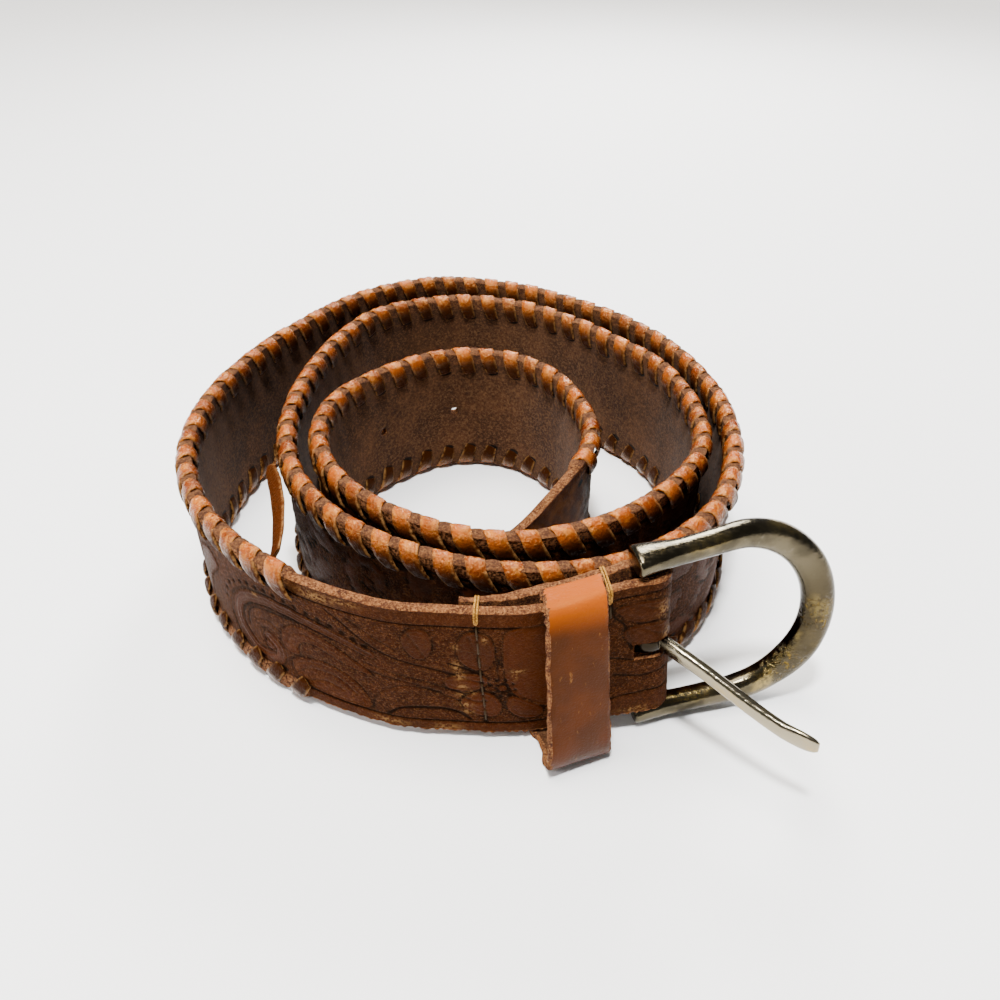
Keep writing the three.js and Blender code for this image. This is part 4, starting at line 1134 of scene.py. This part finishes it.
# Sets copies of a stitch on points that carry their turn, with a seeded spread of size and tone
def stitch_setter(stitch):
    tree = bpy.data.node_groups.new("lacing_stitches", "GeometryNodeTree")
    tree.interface.new_socket("Geometry", in_out="INPUT", socket_type="NodeSocketGeometry")
    seed = tree.interface.new_socket("Seed", in_out="INPUT", socket_type="NodeSocketInt")
    spread = tree.interface.new_socket("Size spread", in_out="INPUT", socket_type="NodeSocketFloat")
    tree.interface.new_socket("Geometry", in_out="OUTPUT", socket_type="NodeSocketGeometry")
    start = add(tree, "NodeGroupInput")
    turn = add(tree, "GeometryNodeInputNamedAttribute", {"data_type": "FLOAT_VECTOR"}, {"Name": "turn"})
    rotation = add(tree, "FunctionNodeEulerToRotation", {}, {0: turn.outputs[0]}).outputs[0]
    small = add(tree, "ShaderNodeMath", {"operation": "SUBTRACT"}, {0: 1.0, 1: start.outputs["Size spread"]})
    size = add(tree, "FunctionNodeRandomValue", {"data_type": "FLOAT"})
    tree.links.new(small.outputs[0], size.inputs[2])
    size.inputs[3].default_value = 1.0
    tree.links.new(start.outputs["Seed"], size.inputs["Seed"])
    stitch_info = add(tree, "GeometryNodeObjectInfo", {}, {"Object": stitch})
    copies = add(tree, "GeometryNodeInstanceOnPoints", {}, {
        "Points": start.outputs["Geometry"], "Instance": stitch_info.outputs["Geometry"],
        "Rotation": rotation, "Scale": size.outputs[1],
    })
    tone = add(tree, "FunctionNodeRandomValue", {"data_type": "FLOAT"})
    tree.links.new(start.outputs["Seed"], tone.inputs["Seed"])
    toned = add(tree, "GeometryNodeStoreNamedAttribute", {"data_type": "FLOAT", "domain": "INSTANCE"}, {
        "Geometry": copies.outputs[0], "Name": "tone", "Value": tone.outputs[1],
    })
    solid = add(tree, "GeometryNodeRealizeInstances", {}, {"Geometry": toned.outputs[0]})
    dressed = add(tree, "GeometryNodeSetMaterial", {}, {"Geometry": solid.outputs[0], "Material": LACE})
    end = add(tree, "NodeGroupOutput")
    tree.links.new(dressed.outputs[0], end.inputs[0])
    return tree, seed.identifier, spread.identifier


# The stitches' drift along the edge in millimetres, their lean in radians and their spread of size, and how
# much painted shade darkens the lower row, whose stitches face down away from the light
STITCH_DRIFT = 0.35
STITCH_LEAN = 0.025
STITCH_SPREAD = 0.07
LOWER_ROW_PAINTED_SHADE = 0.75


def make_lacing(name, side, seed):
    chance = np.random.default_rng(seed)
    distances = LACED_FROM + (np.arange(STITCHES) + STITCH_PLACE) * STITCH_PITCH
    distances += chance.uniform(-STITCH_DRIFT, STITCH_DRIFT, STITCHES)
    point, along, _ = line_at(distances)
    edge = STRAP_TOP if side > 0 else STRAP_BOTTOM
    point[:, 2] = edge + chance.uniform(-0.15, 0.1, STITCHES) * side
    turns = np.stack([np.zeros(STITCHES), np.zeros(STITCHES), np.arctan2(along[:, 1], along[:, 0])], 1)
    turns += chance.normal(0, STITCH_LEAN, turns.shape)
    mesh = bpy.data.meshes.new(name)
    mesh.from_pydata(in_row(point).tolist(), [], [])
    layer = mesh.attributes.new("turn", "FLOAT_VECTOR", "POINT")
    layer.data.foreach_set("vector", turns.astype(np.float32).reshape(-1))
    lacing = add_object(name, mesh)
    stitch = stitch_mesh(name + "_stitch", side)
    modifier = lacing.modifiers.new("stitches", "NODES")
    modifier.node_group, seed_key, spread_key = stitch_setter(stitch)
    modifier[seed_key] = seed
    modifier[spread_key] = STITCH_SPREAD
    done = lacing.evaluated_get(bpy.context.evaluated_depsgraph_get())
    lacing_mesh = bpy.data.meshes.new_from_object(done)
    lacing.modifiers.clear()
    lacing.data = lacing_mesh
    # The lower row's stitches carry the painted shade
    low = lacing_mesh.attributes.new("low", "FLOAT", "POINT")
    low.data.foreach_set("value", [0.0 if side > 0 else LOWER_ROW_PAINTED_SHADE] * len(lacing_mesh.vertices))
    bpy.data.objects.remove(stitch)
    return lacing


# The lace's loose end, in the gap behind the front: how far its flat side is turned up, in degrees, and half
# its drawn width and thickness by the lace's own
LACE_TAIL_TILT = 37.0
LACE_TAIL_HALF_WIDTH = 0.62
LACE_TAIL_HALF_THICK = 0.42


def make_lace_end():
    start, _, outward = (rows[0] for rows in line_at(LACED_FROM + LACE_TAIL_FROM))
    far = line_at(LACED_FROM + LACE_TAIL_FROM + LACE_TAIL_LENGTH)[0][0]
    root = start - outward * (STRAP_THICK / 2 + GAP + LACE_WIDTH / 2)
    run = (far - start) / np.linalg.norm(far - start)
    tilt = math.radians(LACE_TAIL_TILT)
    flat = -outward * math.cos(tilt) + UP * math.sin(tilt)
    thin = np.cross(run, flat)
    stops = np.linspace(0, len(LACE_TAIL) - 1, 40)
    along, inward, drop, width = (
        np.interp(stops, range(len(LACE_TAIL)), [row[k] for row in LACE_TAIL]) for k in range(4)
    )
    width[-4:] *= (0.97, 0.9, 0.78, 0.5)
    path = root + np.outer(along, run) * LACE_TAIL_LENGTH - np.outer(inward, outward) * LACE_TAIL_LENGTH
    path[:, 2] = STRAP_TOP - drop * STRAP_WIDTH
    rings, sides = [], []
    for place, wide in zip(path, width):
        for k in range(16):
            angle = 2 * math.pi * (k + 0.5) / 16
            across = math.copysign(abs(math.cos(angle)) ** 0.6, math.cos(angle))
            deep = math.copysign(abs(math.sin(angle)) ** 0.6, math.sin(angle))
            sideways = flat * across * wide * LACE_WIDTH * LACE_TAIL_HALF_WIDTH
            rings.append(place + sideways + thin * deep * LACE_THICK * LACE_TAIL_HALF_THICK)
            sides.append(abs(across))
    rings = np.reshape(rings, (len(path), 16, 3))
    # A reach of 0.5 gives the loose end most of the lace's painted foot shade
    values = {"reach": 0.5, "side": np.reshape(sides, rings.shape[:2]), "tone": 0.5}
    lace_end = ring_mesh("lace_end", rings, [LACE], None, values)
    return lace_end, path


# The keeper's outline inside: room in front of the strap and height, as in the part's source
def keeper_outline(share, grown):
    back = -STRAP_THICK / 2 - KEEPER_ROOM
    low, high = STRAP_BOTTOM - KEEPER_ROOM, STRAP_TOP + KEEPER_ROOM
    bulge = KEEPER_BULGE * (1 + KEEPER_SKEW * (2 * share - 1))
    front = [(STRAP_THICK / 2 + room * bulge, low + (high - low) * up) for room, up in KEEPER_FRONT]
    outline = np.array([(back, low), *front, (STRAP_THICK / 2, high), (back, high)])
    before = outline - np.roll(outline, 1, 0)
    after = np.roll(outline, -1, 0) - outline
    before /= np.linalg.norm(before, axis=1)[:, None]
    after /= np.linalg.norm(after, axis=1)[:, None]
    normal_before = np.stack([before[:, 1], -before[:, 0]], 1)
    normal = normal_before + np.stack([after[:, 1], -after[:, 0]], 1)
    normal /= np.linalg.norm(normal, axis=1)[:, None]
    return outline + normal * (grown / (normal * normal_before).sum(1))[:, None]


# The keeper's corners at the back and in front, how high its foot reaches, and how far the foot has slipped
# along the strap
KEEPER_CORNER = 1.3
KEEPER_LOOSE_CORNER = 40.0
KEEPER_FOOT = 9.0
KEEPER_SLIP = 2.4
CORNER_STEPS = 8


# The same outline with its corners rounded: sharp at the back and loose in front
def rounded(outline):
    points = []
    count = len(outline)
    for i, corner in enumerate(outline):
        before, after = outline[i - 1] - corner, outline[(i + 1) % count] - corner
        tight = i in (0, count - 1, count - 2)
        reach = KEEPER_CORNER if tight else KEEPER_LOOSE_CORNER
        a = corner + before * min(0.5, reach / np.linalg.norm(before))
        b = corner + after * min(0.5, reach / np.linalg.norm(after))
        for t in np.linspace(0, 1, CORNER_STEPS, endpoint=False) + 0.5 / CORNER_STEPS:
            points.append(a * (1 - t) ** 2 + corner * 2 * t * (1 - t) + b * t * t)
        straight = after * (1 - 2 * min(0.5, reach / np.linalg.norm(after)))
        if tight:
            points += [b + straight * t for t in np.linspace(0.05, 0.95, 12)]
    return np.array(points)


def make_keeper():
    low, high = STRAP_BOTTOM - KEEPER_ROOM, STRAP_TOP + KEEPER_ROOM
    outer = np.linspace(0.03, 0.945, 16)
    corners = [(share, 1.0) for share in outer]
    corners += [(0.97, 0.94), (0.992, 0.72), (1.0, 0.45), (0.99, 0.15)]
    corners += [(share, 0.0) for share in outer[::-2]]
    corners += [(0.01, 0.15), (0.0, 0.5), (0.01, 0.85)]
    slots = [0] * (len(outer) - 1) + [1] * 5 + [2] * 8 + [1] * 3
    columns = []
    for share, lift in corners:
        inner = rounded(keeper_outline(share, 0.0))
        wide = rounded(keeper_outline(share, KEEPER_THICK))
        shape = inner + (wide - inner) * lift
        point, _, outward = (rows[0] for rows in line_at(KEEPER_FROM_BAR + share * KEEPER_WIDTH))
        column = point + shape[:, :1] * outward + UP * shape[:, 1:]
        at_back = smooth(1 - (shape[:, 0] + STRAP_THICK) / KEEPER_BULGE)
        at_foot = smooth(1 - (shape[:, 1] - low) / KEEPER_FOOT)
        column = column + start_along * (KEEPER_SLIP * at_back * at_foot)[:, None]
        columns.append(settle(column, np.clip((shape[:, 1] - low) / (high - low), 0, 1)))
    rings = np.stack(columns, 1)
    on_edge = np.array([0.02 + 0.13 * (slot == 1) for slot in slots])
    wear = rough((*rings.shape[:2], 3), SEED + 9, 1) * on_edge[:, None]
    rings = rings + wear
    top = rings[..., 2].max()
    # The painted highlight covers the keeper's upper 9 mm and is strongest at the top
    values = {"laced": 0.0, "painted_top_highlight": smooth((rings[..., 2] - top + 9) / 8) * 0.85}
    return ring_mesh("keeper_band", rings, [LATIGO, RAW_EDGE, FLESH_SIDE], slots, values, looped=True)


# A place on the strap by distance from the bar, distance out from its middle and height above its lower edge
def on_strap(distance, out, up):
    point, _, outward = line_at(distance)
    place = point + outward * np.atleast_1d(out)[:, None]
    place[:, 2] = STRAP_BOTTOM + np.atleast_1d(up)
    return settle(place)


def strand(name, places, radius, darkening, corners=7):
    stops = np.linspace(0, len(places) - 1, 6 * (len(places) - 1) + 1)
    path = np.stack([np.interp(stops, range(len(places)), np.array(places)[:, k]) for k in range(3)], 1)
    for _ in range(3):
        path[1:-1] = (path[:-2] + 2 * path[1:-1] + path[2:]) / 4
    run = np.gradient(path, axis=0)
    run /= np.linalg.norm(run, axis=1)[:, None]
    side = np.cross(run, start_along + UP * 0.1)
    side /= np.linalg.norm(side, axis=1)[:, None]
    angles = 2 * math.pi * np.arange(corners) / corners
    rings = path[:, None] + radius * (
        side[:, None] * np.cos(angles)[:, None] + np.cross(run, side)[:, None] * np.sin(angles)[:, None]
    )
    return ring_mesh(name, rings, [THREAD], None, {"darkening": darkening})


# Thread rows that close the fold: two strands over the upper edge, then short stitches down the face
THREAD_RADIUS = 0.24
THREAD_STITCH = 4.3


def thread_over_edge(name, distance, behind):
    face = STRAP_THICK / 2
    strands = []
    for k, shift in enumerate((-0.32, 0.3)):
        rows = [
            (distance + shift, -behind - 0.2, STRAP_WIDTH - 2.4),
            (distance + shift, -behind + 0.1, STRAP_WIDTH + 0.1),
            (distance + shift, -behind + 0.8, STRAP_WIDTH + 0.45),
            (distance + shift, face - 0.6, STRAP_WIDTH + 0.45),
            (distance + shift, face + 0.12, STRAP_WIDTH - 0.1),
            (distance + shift * 0.8, face + 0.12, STRAP_WIDTH - 2.6),
            (distance, face - 0.5, STRAP_WIDTH - 3.6),
        ]
        strands.append(strand(f"{name}_{k + 1}", on_strap(*np.array(rows).T), THREAD_RADIUS, 0.0))
    return strands


def thread_down_face(name, row, tops):
    places = spline(row, False, 20)
    face = STRAP_THICK / 2
    strands = []
    for k, top in enumerate(tops):
        ups = np.array([top, top - 0.4, top - THREAD_STITCH + 1.0, top - THREAD_STITCH + 0.6])
        distance = np.interp(-ups, -places[:, 1], places[:, 0])
        out = face - FACE_SINK - 0.22 + np.array([-0.4, 0.16, 0.16, -0.4])
        strands.append(strand(f"{name}_{k + 1}", on_strap(distance, out, ups), THREAD_RADIUS * 0.8, 1.0))
    return strands


def make_threads():
    rows = thread_over_edge("fold_thread", THREAD_ROW[0][0], 3.9)
    rows += thread_over_edge("bar_thread", BAR_THREAD_ROW[0][0], 6.9)
    rows += thread_down_face("fold_stitch", THREAD_ROW, np.arange(33.6, 4, -THREAD_STITCH))
    rows += thread_down_face("bar_stitch", BAR_THREAD_ROW, [34.0])
    return rows


# Stations along each arm and round the bend, and corners of the section
ARM_STEPS = 18
BEND_STEPS = 56
SECTION_CORNERS = 28
# Degrees round the bend from the upper arm: where the painted dark reflection lies, and the pits with their
# reach
DARK_REFLECTION_MIDDLE = 95
DARK_REFLECTION_REACH = 38
PITS = [(86, 4), (97, 5), (132, 6), (146, 3)]


# A point of the frame, with its bow and its twist from arm to arm
def in_frame(along, inward, height):
    share = (height / ARM_HEIGHT + 1) / 2
    turn = np.radians(FRAME_TURN_BOTTOM + (FRAME_TURN_TOP - FRAME_TURN_BOTTOM) * share)
    bow = between(FRAME_BOW, along / FRAME_LENGTH) * FRAME_LENGTH + inward
    return in_buckle(
        along * np.cos(turn) - bow * np.sin(turn), along * np.sin(turn) + bow * np.cos(turn), height,
    )


def superellipse(count, power):
    angles = 2 * math.pi * (np.arange(count) + 0.5) / count
    c, s = np.cos(angles), np.sin(angles)
    return np.sign(c) * np.abs(c) ** power, np.sign(s) * np.abs(s) ** power


# The frame's middle line runs from the upper arm's end round to the lower arm's end.
def make_buckle_frame():
    arm = np.linspace(-FRAME_END_REACH + 1.2, FRAME_STRAIGHT, ARM_STEPS + 1)
    arm = np.concatenate([-FRAME_END_REACH + np.array([0.0, 0.25, 0.6]), arm])
    angles = np.linspace(0, math.pi, BEND_STEPS + 1)[1:-1]
    bend_length = FRAME_LENGTH - FRAME_STRAIGHT
    along = np.concatenate([arm, FRAME_STRAIGHT + bend_length * np.sin(angles), arm[::-1]])
    height = np.concatenate([arm * 0 + ARM_HEIGHT, ARM_HEIGHT * np.cos(angles), arm * 0 - ARM_HEIGHT])
    run = np.stack([np.gradient(along), np.gradient(height)], 1)
    run /= np.linalg.norm(run, axis=1)[:, None]
    apex = smooth((along - FRAME_STRAIGHT / 2) / (FRAME_LENGTH - FRAME_STRAIGHT / 2))
    end = smooth(1 - (along + FRAME_END_REACH) / (3 * FRAME_END_REACH))
    half_width = (FRAME_WIRE + (FRAME_APEX_WIDTH - FRAME_WIRE) * apex) / 2
    flare = (FRAME_END_DEPTH - FRAME_WIRE) * end
    half_depth = (FRAME_WIRE + flare) / 2
    u, w = superellipse(SECTION_CORNERS, 0.8)
    shrink = np.ones(len(along))
    shrink[:3] = shrink[-3:][::-1] = (0.72, 0.92, 0.985)
    side = (half_width * shrink)[:, None] * u
    deep = (half_depth * shrink)[:, None] * w + flare[:, None] / 2
    rings = in_frame(
        along[:, None] - side * run[:, 1:], deep, height[:, None] + side * run[:, :1],
    )
    rubbed = np.clip(rough(rings.shape[:2], SEED + 3, 6) * 0.5, 0, 1)
    pitted = np.zeros(len(along))
    bent = np.degrees(np.arctan2((along - FRAME_STRAIGHT) / bend_length, height / ARM_HEIGHT))
    # The painted dark reflection round the middle of the bend
    painted_dark_reflection = np.exp(-((bent - DARK_REFLECTION_MIDDLE) / DARK_REFLECTION_REACH) ** 4) * (along > FRAME_STRAIGHT)
    for place, reach in PITS:
        pitted = np.maximum(pitted, np.exp(-((bent - place) / reach) ** 2) * (along > FRAME_STRAIGHT))
    in_front = np.clip(0.4 - w, 0, 1) * np.clip(1.3 - abs(u + 0.3), 0, 1)
    values = {"rubbed": rubbed, "pitted": np.outer(pitted, in_front), "painted_dark_reflection": painted_dark_reflection[:, None]}
    frame_piece = ring_mesh("cast_frame", rings, [METAL], None, values, sharp=70)
    u, w = superellipse(SECTION_CORNERS, 1.0)
    bar = np.array([
        in_buckle(u * BAR_DIAMETER / 2, w * BAR_DIAMETER / 2, h) for h in (-ARM_HEIGHT, ARM_HEIGHT)
    ])
    cut(frame_piece, ring_mesh("bar", bar, [METAL], None, {"rubbed": 0.0}), "UNION")
    return frame_piece


# The drawn prong's width by the solid's
PRONG_FULL = 1.12


def make_prong():
    inside = BAR_DIAMETER / 2 + EYE_GAP
    outside = inside + EYE_WALL
    half = PRONG_WIDTH / 2
    around = 2 * math.pi * np.arange(48) / 48
    u, w = superellipse(20, 0.75)
    middle = (inside + outside) / 2
    radius = middle + u * (outside - inside) / 2
    eye = in_buckle(radius * np.cos(around)[:, None], radius * np.sin(around)[:, None], w * half)
    # The eye sits in the leather's slot, where it takes tarnish and painted shade
    eye_values = {"rubbed": 0.0, "tarnish_and_painted_shade": 1.0}
    prong = ring_mesh("cast_prong", eye, [METAL], None, eye_values, looped=True, sharp=70)
    turn = math.radians(-PRONG_OPEN)
    share = np.linspace(PRONG[0][0], 1, 48)
    bow, width, thick = (between(PRONG, share, k) for k in (1, 2, 3))
    width = width * PRONG_FULL
    width[-3:] *= (0.96, 0.88, 0.62)
    thick[-3:] *= (0.95, 0.85, 0.6)
    side = thick[:, None] * PRONG_THICK / 2 * u - (bow * PRONG_BOW)[:, None]
    reach = share[:, None] * PRONG_LENGTH
    droop = PRONG_DROOP * smooth((share - PRONG[0][0]) / (1 - PRONG[0][0]))
    rings = in_buckle(
        reach * math.cos(turn) - side * math.sin(turn), reach * math.sin(turn) + side * math.cos(turn),
        width[:, None] * PRONG_WIDTH / 2 * w - droop[:, None],
    )
    rubbed = np.clip(rough(rings.shape[:2], SEED + 4, 6) * 0.6, 0, 1)
    tarnish_and_painted_shade = smooth(1.6 - (share - PRONG[0][0]) / 0.07)[:, None]
    # The prong carries the painted light on its metal colour
    values = {"rubbed": rubbed, "tarnish_and_painted_shade": tarnish_and_painted_shade, "painted_prong_light": 1.0}
    shank = ring_mesh("prong_shank", rings, [METAL], None, values, sharp=70)
    cut(prong, shank, "UNION")
    return prong


# The plain pale floor and soft light from above
FLOOR_SIZE = 14
SUN_STRENGTH = 5.8
SUN_SPREAD = 35
SUN_COLOUR = (1.0, 0.95, 0.88)
SUN_TILT = (-10, -12)
SKY_STRENGTH = 0.24
LAMPS_AIM = (0, 0, 0.02)
# Small lamps for the glints: name, place, size and power
LAMPS = [
    ("back", (0.15, 0.7, 0.55), 0.28, 11.0),
    ("overhead", (-0.05, -0.2, 0.8), 0.1, 13.0),
    ("left", (-0.8, -0.25, 0.4), 0.35, 5.0),
]


def make_floor():
    material, _, shader, _ = new_material("matt_white_paper")
    shader.inputs["Base Color"].default_value = linear("#f4f4f4")
    shader.inputs["Roughness"].default_value = 0.9
    bpy.ops.mesh.primitive_plane_add(size=FLOOR_SIZE, location=(0, 0, 0))
    floor = bpy.context.object
    floor.name = "floor"
    floor.data.materials.append(material)
    return floor


def make_light(name, place, size, power):
    data = bpy.data.lights.new(name, "AREA")
    data.shape = "DISK"
    data.size = size
    data.energy = power
    lamp = add_object(name, data)
    lamp.location = place
    lamp.rotation_mode = "QUATERNION"
    lamp.rotation_quaternion = (Vector(LAMPS_AIM) - Vector(place)).to_track_quat("-Z", "Y")
    return lamp


lace_end, lace_end_path = make_lace_end()
strap, strap_coil = make_strap()
top_lacing = make_lacing("lacing_top", 1, SEED)
bottom_lacing = make_lacing("lacing_bottom", -1, SEED + 1)
keeper = make_keeper()
threads = make_threads()
buckle_frame = make_buckle_frame()
prong = make_prong()
floor = make_floor()
sky = bpy.data.lights.new("soft_top", "SUN")
sky.energy = SUN_STRENGTH
sky.angle = math.radians(SUN_SPREAD)
sky.color = SUN_COLOUR
soft_top = add_object("soft_top", sky)
soft_top.rotation_euler = (math.radians(SUN_TILT[0]), math.radians(SUN_TILT[1]), 0)
for lamp in LAMPS:
    make_light(*lamp)
world = bpy.data.worlds.new("studio")
bpy.context.scene.world = world
world.use_nodes = True
world.node_tree.nodes["Background"].inputs["Color"].default_value = (1, 1, 1, 1)
world.node_tree.nodes["Background"].inputs["Strength"].default_value = SKY_STRENGTH

for piece in (strap, strap_coil, top_lacing, bottom_lacing, lace_end, keeper, *threads):
    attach(piece, "belt")
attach(buckle_frame, "buckle")
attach(prong, "prong")
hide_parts("strap")
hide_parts("top_lacing")
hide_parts("bottom_lacing")
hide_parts("keeper")
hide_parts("buckle_frame")
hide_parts("prong")
